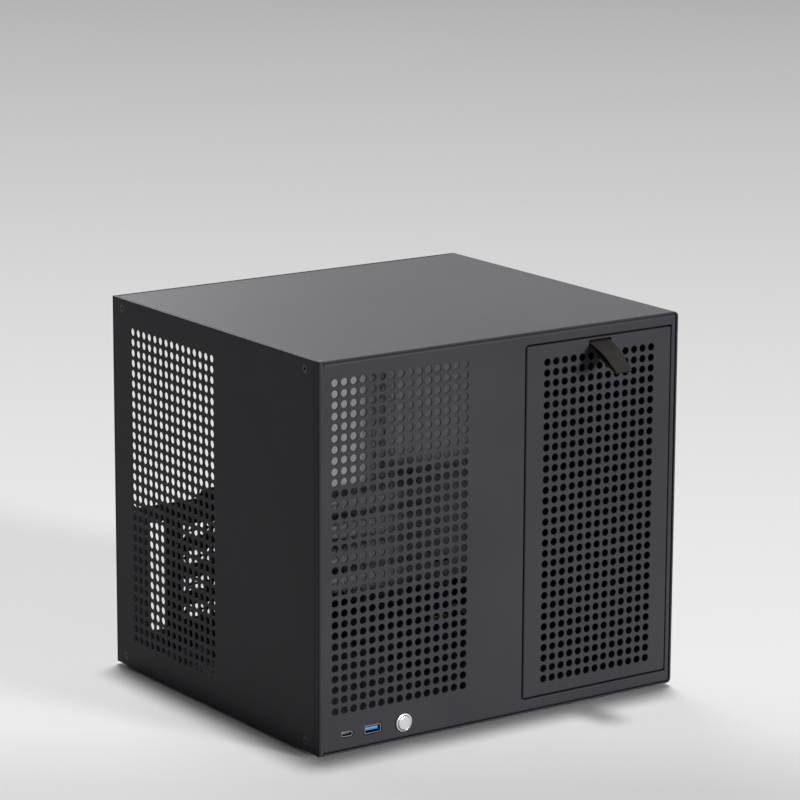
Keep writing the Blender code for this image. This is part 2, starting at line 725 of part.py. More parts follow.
def build_hinge_pins(steel):
    """Two pins fixed in the door's sides, turning in the front panel."""
    left_end = -(DOOR_WIDTH / 2 + DOOR_GAP + SHEET + GAP)
    right_end = DOOR_WIDTH / 2 + DOOR_FROM_RIGHT - SHEET - 2 * GAP
    for name, outer, side in (("left", left_end, -1), ("right", right_end, 1)):
        inner = side * (DOOR_WIDTH / 2 - PIN_INSIDE)
        bm = bmesh.new()
        ends = sorted((inner, outer))
        profile = [(0, ends[0]), (PIN_RADIUS, ends[0]), (PIN_RADIUS, ends[1]), (0, ends[1])]
        add_turned(bm, HINGE, X, profile, 12)
        add_object("door_hinge_pin_" + name, bm, steel, HINGE, smooth=True)


def build_magnets(steel):
    """Two magnets on the front panel's lip, behind the door's top lip."""
    height = up(DOOR_BOTTOM + DOOR_HEIGHT) - SHEET - GAP - MAGNET_RADIUS
    for name, side in (("left", -1), ("right", 1)):
        centre = Vector((DOOR_MIDDLE + side * MAGNET_SPREAD / 2, DOOR_DEPTH + GAP, height))
        bm = bmesh.new()
        profile = [(0, 0), (MAGNET_RADIUS, 0), (MAGNET_RADIUS, MAGNET_THICKNESS), (0, MAGNET_THICKNESS)]
        add_turned(bm, centre, Y, profile, 16)
        add_object("door_magnet_" + name, bm, steel, smooth=True)


def build_left_panel(paint, steel):
    """Flat punched side panel and its four countersunk screws."""
    front = CORNER_STRIP + GAP
    bm = bmesh.new()
    add_box(bm, (0, front, FLOOR_Z), (SHEET, REAR_INNER - GAP, ROOF_Z))
    panel = add_object("left_panel", bm, paint)
    field_front = DEPTH - SIDE_FIELD_FROM_REAR - PITCH * (SIDE_COLUMNS - 1)
    first = Vector((0, field_front, up(SIDE_FIELD_Z)))
    punched("side field", panel, first, Y, SIDE_COLUMNS, X)
    bm = bmesh.new()
    over = GAP
    wide = COUNTERSINK_RADIUS + GAP
    narrow = SCREW_RADIUS + GAP
    slope = (wide - narrow) / SHEET
    for place in side_screw_places():
        profile = [(0, -over), (wide + slope * over, -over), (narrow - slope * over, SHEET + over)]
        add_turned(bm, place, X, profile + [(0, SHEET + over)], 12)
    add_tool("side countersinks", bm, panel)
    for number, place in enumerate(side_screw_places(), 1):
        add_screw(f"left_panel_screw_{number}", "countersunk", place, -X, steel)


def supply_outline():
    """Opening for the power supply: a rectangle with ears left for its four screws."""
    left = SUPPLY_LEFT + SUPPLY_RIM
    right = SUPPLY_LEFT + SUPPLY_WIDTH - SUPPLY_RIM
    low = up(SUPPLY_BOTTOM + SUPPLY_RIM)
    high = up(SUPPLY_TOP - SUPPLY_RIM)
    ear = SUPPLY_EAR
    ear_x = SUPPLY_LEFT + SUPPLY_WIDTH - SUPPLY_HOLE_OFFSET
    points = [
        (left + ear, low),
        (ear_x - ear, low),
        (ear_x - ear / 2, low + ear),
        (right, low + ear),
        (right, high - ear),
        (right - ear, high),
        (left + ear, high),
        (left, high - ear),
        (left, low + ear),
    ]
    return [Vector((x, REAR_FACE, z)) for x, z in points]


def supply_holes():
    """The power supply's four screw holes, at its makers' common spacing."""
    low = up(SUPPLY_BOTTOM + SUPPLY_HOLE_EDGE)
    high = up(SUPPLY_TOP - SUPPLY_HOLE_EDGE)
    left = SUPPLY_LEFT + SUPPLY_HOLE_EDGE
    right = SUPPLY_LEFT + SUPPLY_WIDTH
    places = [(left, low), (right - SUPPLY_HOLE_OFFSET, low), (left, high), (right - SUPPLY_HOLE_EDGE, high)]
    return [Vector((x, REAR_FACE, z)) for x, z in places]


def build_rear_panel(paint, steel):
    """Flat rear sheet with the openings for supply, ports and slots, and a punched field."""
    corners = [(0, FLOOR_Z), (WIDTH, FLOOR_Z), (WIDTH, ROOF_Z), (0, ROOF_Z)]
    path = filleted(corners, (SHELL_RADIUS, SHELL_RADIUS))
    bm = bmesh.new()
    add_prism(bm, [Vector((p.x, REAR_INNER, p.y)) for p in path], Y, 0, SHEET)
    bmesh.ops.recalc_face_normals(bm, faces=bm.faces)
    panel = add_object("rear_panel", bm, paint)
    field_left = WIDTH - REAR_FIELD_FROM_RIGHT - PITCH * (REAR_COLUMNS - 1)
    first = Vector((field_left, REAR_FACE, up(REAR_FIELD_Z)))
    punched("rear field", panel, first, X, REAR_COLUMNS, Y, REAR_SPACING)
    bm = bmesh.new()
    add_prism(bm, supply_outline(), Y, -2 * SHEET, SHEET)
    add_tool("supply opening", bm, panel)
    board_face = TRAY_X - STANDOFF_HEIGHT - GAP - MAINBOARD_THICKNESS
    port_right = board_face + PORT_OPENING_UNDER
    port_high = ROOF_Z - PORT_OPENING_FROM_TOP
    cuts = [(port_right - PORT_OPENING_DEPTH, port_right, up(PORT_OPENING_BOTTOM), port_high)]
    middles = cover_middles()
    slot_right = port_right - GAP
    cuts += [(SLOT_LEFT, slot_right, z - SLOT_HEIGHT / 2, z + SLOT_HEIGHT / 2) for z in middles]
    slit_low = middles[0] - SLOT_PITCH / 2
    cuts.append((SLIT_LEFT, SLIT_LEFT + SLIT_WIDTH, slit_low, slit_low + SLOT_COUNT * SLOT_PITCH))
    bm = bmesh.new()
    for left, right, low, high in cuts:
        add_box(bm, (left, REAR_INNER - SHEET, low), (right, REAR_FACE + SHEET, high))
    add_tool("rear openings", bm, panel)
    drill("supply holes", panel, supply_holes(), Y, SUPPLY_HOLE_RADIUS)
    drill("rear screw holes", panel, rear_screw_places(), Y, SCREW_RADIUS + GAP)
    cover_screws = [Vector((COVER_LEFT + COVER_SCREW_INSET, REAR_FACE, z)) for z in middles]
    drill("cover screw holes", panel, cover_screws, Y, SCREW_RADIUS + GAP)
    for number, place in enumerate(rear_screw_places(), 1):
        add_screw(f"rear_panel_screw_{number}", "pan", place + Y * GAP, Y, steel)
    for number, place in enumerate(cover_screws, 1):
        add_screw(f"slot_cover_screw_{number}", "pan", place + Y * GAP, Y, steel)


def build_slot_covers(paint):
    """Vented strips inside the rear panel, one over each expansion slot."""
    rear = REAR_INNER - GAP
    right = TRAY_X - SHEET - GAP
    for number, z in enumerate(cover_middles(), 1):
        bm = bmesh.new()
        low = (COVER_LEFT, rear - COVER_THICKNESS, z - COVER_HEIGHT / 2)
        add_box(bm, low, (right, rear, z + COVER_HEIGHT / 2))
        cover = add_object(f"slot_cover_{number}", bm, paint)
        screw = Vector((COVER_LEFT + COVER_SCREW_INSET, rear, z))
        drill(f"cover {number} screw hole", cover, [screw], Y, SCREW_RADIUS + GAP)
        spacing = (right - SLOT_LEFT) / COVER_VENTS
        vents = [Vector((SLOT_LEFT + spacing * (k + 0.5), rear, z)) for k in range(COVER_VENTS)]
        drill(f"cover {number} vents", cover, vents, Y, COVER_VENT_RADIUS, sides=HOLE_SIDES)


def build_tray(zinc, brass):
    """Upright sheet that carries the motherboard on nine standoffs."""
    low = FLOOR_Z + SEAT
    high = ROOF_Z - SEAT
    rear = REAR_INNER - TRAY_REAR_CLEARANCE
    bm = bmesh.new()
    lines = [low + FOLD_RADIUS, high - FOLD_RADIUS]
    verts = add_grid(bm, lambda a, b: Vector((TRAY_X, a, b)), [TRAY_FRONT, rear], lines)
    add_return(bm, [verts[i, 0] for i in (0, 1)], -Z, X, TRAY_RETURN)
    add_return(bm, [verts[i, 1] for i in (0, 1)], Z, X, TRAY_RETURN)
    tray = add_sheet("motherboard_tray", bm, -X, zinc)
    bm = bmesh.new()
    front, back, bottom, top = TRAY_WINDOW_SHARES
    corner = (TRAY_X - SHEET, front * DEPTH, up(bottom * HEIGHT))
    add_box(bm, corner, (TRAY_X + 2 * SHEET, back * DEPTH, up(top * HEIGHT)))
    add_tool("tray window", bm, tray)
    drill("standoff holes", tray, standoff_places(), X, STANDOFF_STUD + GAP)
    for number, place in enumerate(standoff_places(), 1):
        bm = bmesh.new()
        tip = GAP + STANDOFF_HEIGHT
        profile = [(0, -SHEET), (STANDOFF_STUD, -SHEET), (STANDOFF_STUD, GAP), (STANDOFF_RADIUS, GAP)]
        profile += [(STANDOFF_RADIUS, tip), (STANDOFF_BORE, tip), (STANDOFF_BORE, tip / 2), (0, tip / 2)]
        add_turned(bm, place, -X, profile, 6)
        add_object(f"board_standoff_{number}", bm, brass)


def build_cage_side(name, face_x, towards, paint):
    """One side of the drive cage: a sheet with a window and a folded ledge for each bay."""
    low = FLOOR_Z + SEAT
    high = ROOF_Z - SEAT
    start = CAGE_FRONT + LEDGE_START
    along = [low + FOLD_RADIUS]
    for bay in range(BAY_COUNT):
        ledge = up(BAY_FIRST_Z + bay * BAY_PITCH)
        along += [ledge - FOLD_RADIUS, ledge - FOLD_RADIUS + LEDGE_WINDOW]
    along.append(high - FOLD_RADIUS)
    end = CAGE_FRONT + CAGE_DEPTH - LEDGE_REAR
    across = [CAGE_FRONT, start, start + RELIEF, end - RELIEF, end, CAGE_FRONT + CAGE_DEPTH]

    def in_window(a, b):
        inside = any(along[k] < b < along[k + 1] for k in range(1, 2 * BAY_COUNT, 2))
        return inside and across[1] < a < across[4]

    bm = bmesh.new()
    verts = add_grid(bm, lambda a, b: Vector((face_x, a, b)), across, along, in_window)
    for bay in range(BAY_COUNT):
        edge = [verts[i, 1 + 2 * bay] for i in (2, 3)]
        add_return(bm, edge, Z, towards, LEDGE_DEPTH)
    top = len(along) - 1
    add_return(bm, [verts[i, 0] for i in range(6)], -Z, towards, CAGE_RETURN)
    add_return(bm, [verts[i, top] for i in range(6)], Z, towards, CAGE_RETURN)
    add_sheet(name, bm, -towards, paint)


def build_cage(paint):
    """Both sides of the drive cage, a drive's width and its play apart."""
    build_cage_side("drive_cage_left", DOOR_MIDDLE - CAGE_HALF, X, paint)
    build_cage_side("drive_cage_right", DOOR_MIDDLE + CAGE_HALF, -X, paint)


def build_feet(rubber):
    """Four low round feet under the shell."""
    number = 0
    for x in (FOOT_INSET, WIDTH - FOOT_INSET):
        for y in (FOOT_INSET, DEPTH - FOOT_INSET):
            number += 1
            bm = bmesh.new()
            top = FOOT_HEIGHT - GAP
            edge = FOOT_RADIUS - GAP
            profile = [(0, 0), (edge, 0), (FOOT_RADIUS, top / 2), (FOOT_RADIUS, top), (0, top)]
            add_turned(bm, Vector((x, y, 0)), Z, profile, 12)
            add_object(f"foot_{number}", bm, rubber, smooth=True)


def socket_tube(name, x, half_x, half_z, radius, length, finish):
    """A socket's metal shell: a tube of rounded section, open at the front."""
    centre = Vector((x, 0, up(PORT_Z)))
    bm = bmesh.new()
    add_prism(bm, rounded_outline(centre, half_x, half_z, radius), Y, PORT_SIT, length)
    bmesh.ops.recalc_face_normals(bm, faces=bm.faces)
    shell = add_object(name, bm, finish)
    bm = bmesh.new()
    inner = rounded_outline(centre, half_x - PORT_WALL, half_z - PORT_WALL, radius - PORT_WALL)
    add_prism(bm, inner, Y, -PORT_WALL, length - PORT_WALL)
    add_tool(name + " inside", bm, shell)
    return shell


def build_tongue(name, x, half_x, half_z, tongue, length, finish):
    """A socket's plastic tongue on its block at the back of the shell."""
    z = up(PORT_Z)
    back = length - PORT_WALL - GAP
    block = back - TONGUE_BASE
    tip = half_x - 2 * PORT_WALL
    bm = bmesh.new()
    base = rounded_outline(Vector((x, 0, z)), half_x, half_z, PORT_WALL, steps=1)
    add_prism(bm, base, Y, block, back)
    bmesh.ops.recalc_face_normals(bm, faces=bm.faces)
    obj = add_object(name, bm, finish)
    bm = bmesh.new()
    add_box(bm, (x - tip, TONGUE_SIT, z - tongue / 2), (x + tip, block + PORT_WALL, z + tongue / 2))
    add_tool(name + " blade", bm, obj, "UNION")


def build_ports(steel, blue, black, green, paint):
    """The two sockets on their small board, and the bracket under it."""
    half_a = (USB_A_WIDTH / 2, USB_A_HEIGHT / 2)
    half_c = (USB_C_WIDTH / 2, USB_C_HEIGHT / 2)
    inside = PORT_WALL + GAP
    socket_tube("usb_a_shell", USB_A_X, *half_a, 2 * PORT_WALL, USB_A_LENGTH, steel)
    build_tongue("usb_a_tongue", USB_A_X, half_a[0] - inside, half_a[1] - inside, TONGUE_HEIGHT,
                 USB_A_LENGTH, blue)
    shell = socket_tube("usb_c_shell", USB_C_X, *half_c, half_c[1], USB_C_LENGTH, steel)
    build_tongue("usb_c_tongue", USB_C_X, half_c[0] - half_c[1], half_c[1] - inside, USB_C_TONGUE_HEIGHT,
                 USB_C_LENGTH, black)
    board_top = up(PORT_Z) - half_a[1] - GAP
    bm = bmesh.new()
    leg = half_c[0] - half_c[1]
    low = (USB_C_X - leg, BOARD_FRONT + GAP, board_top + GAP)
    add_box(bm, low, (USB_C_X + leg, USB_C_LENGTH - GAP, up(PORT_Z) - half_c[1] + PORT_WALL / 2))
    add_tool("usb_c_shell foot", bm, shell, "UNION")
    left = USB_C_X - half_c[0] - BOARD_MARGIN
    right = USB_A_X + half_a[0] + BOARD_MARGIN
    bm = bmesh.new()
    board_low = board_top - BOARD_THICKNESS
    add_box(bm, (left, BOARD_FRONT, board_low), (right, BOARD_FRONT + BOARD_DEPTH, board_top))
    add_object("io_board", bm, green)
    shelf = board_low - GAP
    foot = FLOOR_Z + SEAT + SHEET
    path = filleted([(BOARD_FRONT, shelf), (BRACKET_WEB_Y, shelf), (BRACKET_WEB_Y, foot),
                     (BRACKET_WEB_Y + BRACKET_FOOT, foot)], (FOLD_RADIUS, FOLD_RADIUS))
    bm = bmesh.new()
    rows = [[bm.verts.new((x, p.x, p.y)) for p in path] for x in (left, right)]
    bridge(bm, rows[0], rows[1])
    add_sheet("io_bracket", bm, Z, paint)


def build_button(steel, bright):
    """Power button: a round cap sliding in its housing, which a nut holds in the panel."""
    centre = Vector((BUTTON_X, 0, up(PORT_Z)))
    face = -(GAP + BEZEL_HEIGHT)
    bore = CAP_RADIUS + GAP
    cap_face = face - CAP_PROUD
    cap_back = cap_face + CAP_LENGTH
    bore_end = cap_back + BUTTON_TRAVEL + GAP
    bm = bmesh.new()
    profile = [(0, bore_end), (bore, bore_end), (bore, face), (BEZEL_RADIUS - GAP, face)]
    profile += [(BEZEL_RADIUS, face + GAP), (BEZEL_RADIUS, -GAP), (BODY_RADIUS, -GAP)]
    profile += [(BODY_RADIUS, BODY_LENGTH), (0, BODY_LENGTH)]
    add_turned(bm, centre, Y, profile, 20)
    add_object("power_button_housing", bm, steel, smooth=True)
    bm = bmesh.new()
    profile = [(0, cap_face), (CAP_RADIUS - GAP, cap_face), (CAP_RADIUS, cap_face + GAP)]
    add_turned(bm, centre, Y, profile + [(CAP_RADIUS, cap_back), (0, cap_back)], 20)
    add_object("power_button", bm, bright, centre, smooth=True)
    bm = bmesh.new()
    near = SHEET + GAP
    add_prism(bm, polygon(centre, Y, NUT_RADIUS, 6), Y, near, near + NUT_THICKNESS)
    bmesh.ops.recalc_face_normals(bm, faces=bm.faces)
    nut = add_object("power_button_nut", bm, steel)
    drill("nut bore", nut, [centre + Y * near], Y, BODY_RADIUS + GAP, 2 * NUT_THICKNESS, 20)


def build():
    """Clears the scene and models the case."""
    for old in list(bpy.data.objects):
        bpy.data.objects.remove(old, do_unlink=True)
    paint = material("black paint", (0.036, 0.036, 0.041), 0.45, 0.0)
    steel = material("plain steel", (0.55, 0.55, 0.56), 0.3, 1.0)
    dark = material("blackened steel", (0.05, 0.05, 0.053), 0.4, 1.0)
    bright = material("satin chrome", (0.85, 0.85, 0.86), 0.3, 1.0)
    inner = material("dark inner paint", (0.05, 0.05, 0.055), 0.5, 0.0)
    zinc = material("zinc plate", (0.6, 0.6, 0.61), 0.45, 1.0)
    brass = material("brass", (0.72, 0.52, 0.22), 0.35, 1.0)
    leather = material("dark leather", (0.045, 0.038, 0.034), 0.6, 0.0)
    rubber = material("rubber", (0.02, 0.02, 0.02), 0.8, 0.0)
    blue = material("blue plastic", (0.03, 0.22, 0.75), 0.4, 0.0)
    black = material("black plastic", (0.02, 0.02, 0.02), 0.4, 0.0)
    green = material("green board", (0.02, 0.12, 0.05), 0.5, 0.0)
    build_shell(paint)
    build_front_panel(paint)
    build_door(paint)
    build_strap(leather)
    build_strap_bar(steel)
    build_hinge_pins(steel)
    build_magnets(steel)
    build_left_panel(paint, dark)
    build_rear_panel(paint, dark)
    build_slot_covers(paint)
    build_tray(zinc, brass)
    build_cage(inner)
    build_feet(rubber)
    build_ports(steel, blue, black, green, inner)
    build_button(steel, bright)


build()
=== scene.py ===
"""Finishes for a punched sheet-metal storage server case, laid out as a Blender add-on."""

import math

import bmesh
import bpy
from bpy.props import FloatProperty, FloatVectorProperty, IntProperty, PointerProperty
from mathutils import Matrix, Vector


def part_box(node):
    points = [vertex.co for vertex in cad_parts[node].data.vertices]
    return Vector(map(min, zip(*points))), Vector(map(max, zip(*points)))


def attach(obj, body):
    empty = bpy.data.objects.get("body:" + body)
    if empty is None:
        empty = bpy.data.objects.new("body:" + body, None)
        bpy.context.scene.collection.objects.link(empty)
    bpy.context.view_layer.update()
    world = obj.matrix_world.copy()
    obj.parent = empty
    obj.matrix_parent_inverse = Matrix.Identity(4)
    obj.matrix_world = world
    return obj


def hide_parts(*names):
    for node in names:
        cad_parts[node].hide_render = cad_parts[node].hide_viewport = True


bl_info = {
    "name": "Punched Storage Case",
    "version": (1, 0, 0),
    "blender": (4, 5, 0),
    "location": "View3D > Sidebar > Case",
    "description": "Models the punched panels, leather pull, sockets and finishes of a storage case",
    "category": "Object",
}

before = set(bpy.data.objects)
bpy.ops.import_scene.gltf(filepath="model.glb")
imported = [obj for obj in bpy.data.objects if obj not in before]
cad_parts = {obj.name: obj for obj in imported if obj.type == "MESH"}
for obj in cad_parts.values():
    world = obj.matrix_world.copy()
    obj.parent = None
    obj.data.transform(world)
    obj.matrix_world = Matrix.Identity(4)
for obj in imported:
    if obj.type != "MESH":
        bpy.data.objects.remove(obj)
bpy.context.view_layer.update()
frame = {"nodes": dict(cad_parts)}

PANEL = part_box("front_panel")
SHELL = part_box("shell")
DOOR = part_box("door")
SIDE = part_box("left_panel")
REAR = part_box("rear_panel")
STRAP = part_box("door_strap")
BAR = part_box("strap_bar")
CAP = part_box("power_button")
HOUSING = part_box("power_button_housing")
USB_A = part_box("usb_a_shell")
USB_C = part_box("usb_c_shell")

LEFT = PANEL[0].x
RIGHT = SHELL[1].x
FRONT = DOOR[0].y
LOW = SHELL[0].z
HIGH = SHELL[1].z
SHEET = SIDE[1].x - SIDE[0].x
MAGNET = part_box("door_magnet_left")[1].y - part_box("door_magnet_left")[0].y

AXES = {"x": Vector((1, 0, 0)), "y": Vector((0, 1, 0)), "z": Vector((0, 0, 1))}
MODES = {"verts": (True, False, False), "edges": (False, True, False), "faces": (False, False, True)}

# Lengths below which two places count as one, and an area below which a face counts as none.
NEAR = 0.00002
MERGE = 0.00004
WELD = 0.000002
SLIVER = 1e-9
# An edge is folded, and not only faceted, where its faces turn by more than this, in radians.
FOLDED = 1.2

# Front panel and door. Cells are the parts of a sheet that a cut-out and its surroundings take up.
PANEL_RETURN = 0.012
FRAME_LIP = 0.012
DOOR_LIP = 0.009
BEND_PLAY = 0.0002
PORT_CELL = (0.014, 0.078)
PORT_CELL_RISE = 0.0022
PORT_CELL_DROP = 0.003
PORT_PLAY = 0.0007
WIDE_PORT_RADIUS = 0.0014
BUTTON_PORT_SIDES = 32
PULL_SLOT_RISE = 0.0004
PULL_SLOT_PLAY = 0.0009
PULL_SLOT_HALF = 0.0029
PULL_SLOT_RADIUS = 0.0008
PULL_CELL_MARGINS = (0.001, 0.0002)

# Shell: its lip round the rear panel, and how far its reliefs stop before the fold.
REAR_LIP = 0.008
LIP_PLAY = 0.0004

# Side panel and screws.
COUNTERSINK = 0.0033
COUNTERSINK_MARGIN = 0.0006
COUNTERSINK_RIM = 0.0002
SCREW_BORE = 0.0017
SCREW_SIDES = 28
SHANK = 0.0014
SCREW_HEAD = 0.0028
RECESS = 0.0011

# Rear panel: edges are left, right, low and high from the body's lower left corner.
PORT_EDGES = (0.1176, 0.16205, 0.10305, 0.2618)
SLOT_LEFT = 0.052
SLOT_HEIGHT = 0.013
SLOT_PITCH = 0.02032
SLIT_LEFT = 0.027
SLIT_WIDTH = 0.014
SUPPLY_EDGES = (0.011, 0.087, 0.112, 0.252)
SUPPLY_MARGIN = 0.0005
SUPPLY_EAR = 0.0065
SUPPLY_EAR_X = 0.076
VENT_PITCH = 0.0056
VENT_RADIUS = 0.0021
VENT_BAND = 0.0055
VENT_SIDES = 12
VENT_CELL_END = 0.002
VENT_ENDS = (0.003, 0.001)

# Leather pull: its reach out of the slot, its fall, and how its two plies bulge apart between.
RAW_EDGE = 3.2
STRAP_PLY = 0.0014
STRAP_REACH = 0.0278
STRAP_DROOP = 0.0140
STRAP_SLOPE_SHARE = 0.85
STRAP_HALF = 0.0009
STRAP_BULGE = 0.0011
STRAP_STEPS = 18
STRAP_STRIPS = 6
STRAP_ROUNDING = 0.00038
STRAP_TAPER = 0.979
TAPER_STEPS = 12
TURN_STEPS = 8
BAR_PLAY = 0.0003

# Sockets, button and feet.
SOCKET_WALL = 0.0004
WIDE_SOCKET_RADIUS = 0.0008
NARROW_SOCKET_HEIGHT = 0.00316
WIDE_TONGUE = 0.0024
WIDE_TONGUE_INSET = 0.0004
NARROW_TONGUE = 0.0007
TONGUE_BLOCK = 0.003
TONGUE_STEP = 0.0002
BUTTON_SIDES = 64
BUTTON_BORE = 0.0059
BUTTON_ROOM = 0.0013
FOOT_SIDES = 40

# Finishes and stage. Painted shade darkens the tray's zinc towards the front, clearing between two depths.
# The floor's shade is given along the view, in metres from the case's middle, as the photograph's backdrop
# shows it.
FLOOR_SIZE = 60
SENSOR_WIDTH = 36
CLIP = (0.05, 100)
ZINC_PAINTED_SHADE_FULL = 0.02
ZINC_PAINTED_SHADE_END = 0.05
FLOOR_BOUNCE = 0.38
FLOOR_WAY = (0.5706, 0.8212, 0.0)
FLOOR_SHADES = (
    (-15.0, 1.05),
    (-1.5, 0.84),
    (-0.28, 0.78),
    (-0.18, 0.91),
    (-0.10, 1.0),
    (0.05, 1.0),
    (0.51, 0.925),
    (0.89, 0.862),
    (1.37, 0.785),
    (2.0, 0.69),
    (2.9, 0.585),
    (4.2, 0.46),
    (7.0, 0.80),
    (15.0, 1.05),
)
LAMPS = (
    ("overhead_lamp", (0.06, 0.06, 1.0), 6, 2.15),
    ("front_lamp", (0.36, -0.92, 0.13), 13, 3.7),
    ("rear_lamp", (0.17, 0.92, 0.38), 40, 1.15),
)


def length_setting(name, description, default):
    """A size in metres."""
    return FloatProperty(name=name, description=description, default=default, unit="LENGTH")


def place_setting(name, description, default):
    """A place in metres, across and up, or in space."""
    size = len(default)
    return FloatVectorProperty(name=name, description=description, default=default, size=size, unit="LENGTH")


def angle_setting(name, description, degrees):
    """An angle, given in degrees."""
    return FloatProperty(name=name, description=description, default=math.radians(degrees), subtype="ANGLE")


def count_setting(name, description, default, least=1):
    """A number of things."""
    return IntProperty(name=name, description=description, default=default, min=least)


def colour_setting(name, description, default):
    """A colour."""
    return FloatVectorProperty(name=name, description=description, default=default, size=3, subtype="COLOR")


class CaseSizes(bpy.types.PropertyGroup):
    """Sizes of the folded and punched sheets."""

    pitch: length_setting("Pitch", "Distance between punched holes", 0.0075)
    hole_diameter: length_setting("Hole Diameter", "Diameter of a punched hole", 0.00525)
    hole_edge: length_setting("Hole Edge", "Rounding where paint covers a hole's edge", 0.0003)
    hole_sides: count_setting("Hole Sides", "Facets of a punched hole", 20, least=8)
    rows: count_setting("Rows", "Rows of holes in every field", 31)
    front_columns: count_setting("Front Columns", "Columns in the front field", 15)
    door_columns: count_setting("Door Columns", "Columns in the door's field", 13)
    side_columns: count_setting("Side Columns", "Columns in the side field", 15)
    rear_columns: count_setting("Rear Columns", "Columns in the rear field", 15)
    front_first: place_setting(
        "First Front Hole", "Lower left hole, from the body's lower left corner", (0.0127, 0.0295)
    )
    rear_first: place_setting(
        "First Rear Hole", "Lower right hole, from the body's lower right corner", (0.0127, 0.0295)
    )
    side_first: place_setting(
        "First Side Hole", "Lower rear hole, from the body's lower rear corner", (0.0266, 0.0231)
    )
    door_first: length_setting("First Door Row", "Lowest row above the door's lower edge", 0.0115)
    fold_radius: length_setting("Fold Radius", "Outer radius of the panels' folds", 0.0018)
    shell_radius: length_setting("Shell Radius", "Outer radius of the shell's right corners", 0.0035)
    fold_steps: count_setting("Fold Steps", "Facets across a fold", 5)
    fit: length_setting("Fit", "Clearance between fitted sheets", 0.0003)
    door_gap: length_setting("Door Gap", "Gap round the door", 0.001)
    door_right_gap: length_setting("Door's Right Gap", "Gap at the door's right edge", 0.0005)
    relief: length_setting("Relief", "Notch beside a fold", 0.0008)


class CaseFinishes(bpy.types.PropertyGroup):
    """Colours of the finishes."""

    paint: colour_setting("Paint", "Black powder coat outside", (0.038, 0.0367, 0.0430))
    inner_paint: colour_setting("Inner Paint", "Black coat of the inner sheets", (0.020, 0.020, 0.022))
    leather: colour_setting("Leather", "Dark leather of the pull", (0.0085, 0.0075, 0.0068))
    blue: colour_setting("Blue", "Moulded tongue of the wide socket", (0.02, 0.18, 0.48))
    chrome: colour_setting("Button Metal", "Bright satin face of the power button", (0.80, 0.79, 0.82))


class CaseStage(bpy.types.PropertyGroup):
    """The floor and the camera."""

    floor_colour: colour_setting("Floor Colour", "Pale floor", (0.80, 0.80, 0.798))
    lens: FloatProperty(name="Lens", description="Focal length on a 36 mm sensor", default=163.5)
    camera_place: place_setting("Camera Place", "Where the camera stands", (-1.4238, -2.0436, 0.7801))
    camera_azimuth: angle_setting("Camera Azimuth", "Turn of the view from straight ahead", -34.792)
    camera_drop: angle_setting("Camera Drop", "Angle of the view below level", 12.989)
    camera_roll: angle_setting("Camera Roll", "Turn about the line of sight", 0.24)


def sizes():
    """The case's sizes in the open scene."""
    return bpy.context.scene.case_sizes


def finishes():
    """The case's colours in the open scene."""
    return bpy.context.scene.case_finishes


def stage():
    """The stage's settings in the open scene."""
    return bpy.context.scene.case_stage


def object_mode():
    """Leaves edit mode and selects nothing."""
    if bpy.context.mode != "OBJECT":
        bpy.ops.object.mode_set(mode="OBJECT")
    bpy.ops.object.select_all(action="DESELECT")


def edit_mode(obj):
    """Opens one object in edit mode."""
    object_mode()
    bpy.context.view_layer.objects.active = obj
    obj.select_set(True)
    bpy.ops.object.mode_set(mode="EDIT")


def settle(name):
    """Names the new active object and applies its place, so that its origin stays at the world's."""
    obj = bpy.context.object
    obj.name = name
    obj.data.name = name
    bpy.ops.object.transform_apply(location=True, rotation=True, scale=True)
    return obj


def add_block(name, low, high):
    """A cube drawn out between two corners."""
    object_mode()
    low = Vector(low)
    high = Vector(high)
    bpy.ops.mesh.primitive_cube_add(size=1, location=(low + high) / 2, scale=high - low)
    return settle(name)


def add_upright(name, left, right, low, high, y):
    """A flat sheet facing the front, between four edges."""
    object_mode()
    middle = Vector(((left + right) / 2, y, (low + high) / 2))
    bpy.ops.mesh.primitive_plane_add(size=1, location=middle, rotation=(math.pi / 2, 0, 0))
    bpy.context.object.scale = (right - left, high - low, 1)
    return settle(name)


def centre(box, **at):
    """The middle of a box, or its projection where a place along an axis is given."""
    middle = (box[0] + box[1]) / 2
    for axis, value in at.items():
        middle["xyz".index(axis)] = value
    return middle


def lies(item, where):
    """Whether all of an element's points lie at the given values, or between pairs of them."""
    points = [item] if isinstance(item, bmesh.types.BMVert) else item.verts
    for axis, want in where.items():
        index = "xyz".index(axis)
        low, high = want if isinstance(want, tuple) else (want, want)
        if any(not low - NEAR <= point.co[index] <= high + NEAR for point in points):
            return False
    return True


def choose(kind, wanted, extend=False):
    """In edit mode, selects the verts, edges or faces that pass a test."""
    bpy.context.tool_settings.mesh_select_mode = MODES[kind]
    if not extend:
        bpy.ops.mesh.select_all(action="DESELECT")
    mesh = bpy.context.edit_object.data
    bm = bmesh.from_edit_mesh(mesh)
    for item in getattr(bm, kind):
        if wanted(item):
            item.select_set(True)
    bm.select_flush_mode()
    bmesh.update_edit_mesh(mesh)


def pick(kind, extend=False, border=False, **where):
    """In edit mode, selects the verts, edges or faces at a place, or only open edges there."""

    def wanted(item):
        return not (border and len(item.link_faces) > 1) and lies(item, where)

    choose(kind, wanted, extend)


def drop(**where):
    """Deletes the faces at a place."""
    pick("faces", **where)
    bpy.ops.mesh.delete(type="FACE")


def cut(axis, *values):
    """Cuts the whole mesh across an axis at each value."""
    for value in values:
        bpy.ops.mesh.select_all(action="SELECT")
        bpy.ops.mesh.bisect(plane_co=AXES[axis] * value, plane_no=AXES[axis])


def draw_out(x=0.0, y=0.0, z=0.0):
    """Extrudes what is selected."""
    bpy.ops.mesh.extrude_region_move(TRANSFORM_OT_translate={"value": (x, y, z)})


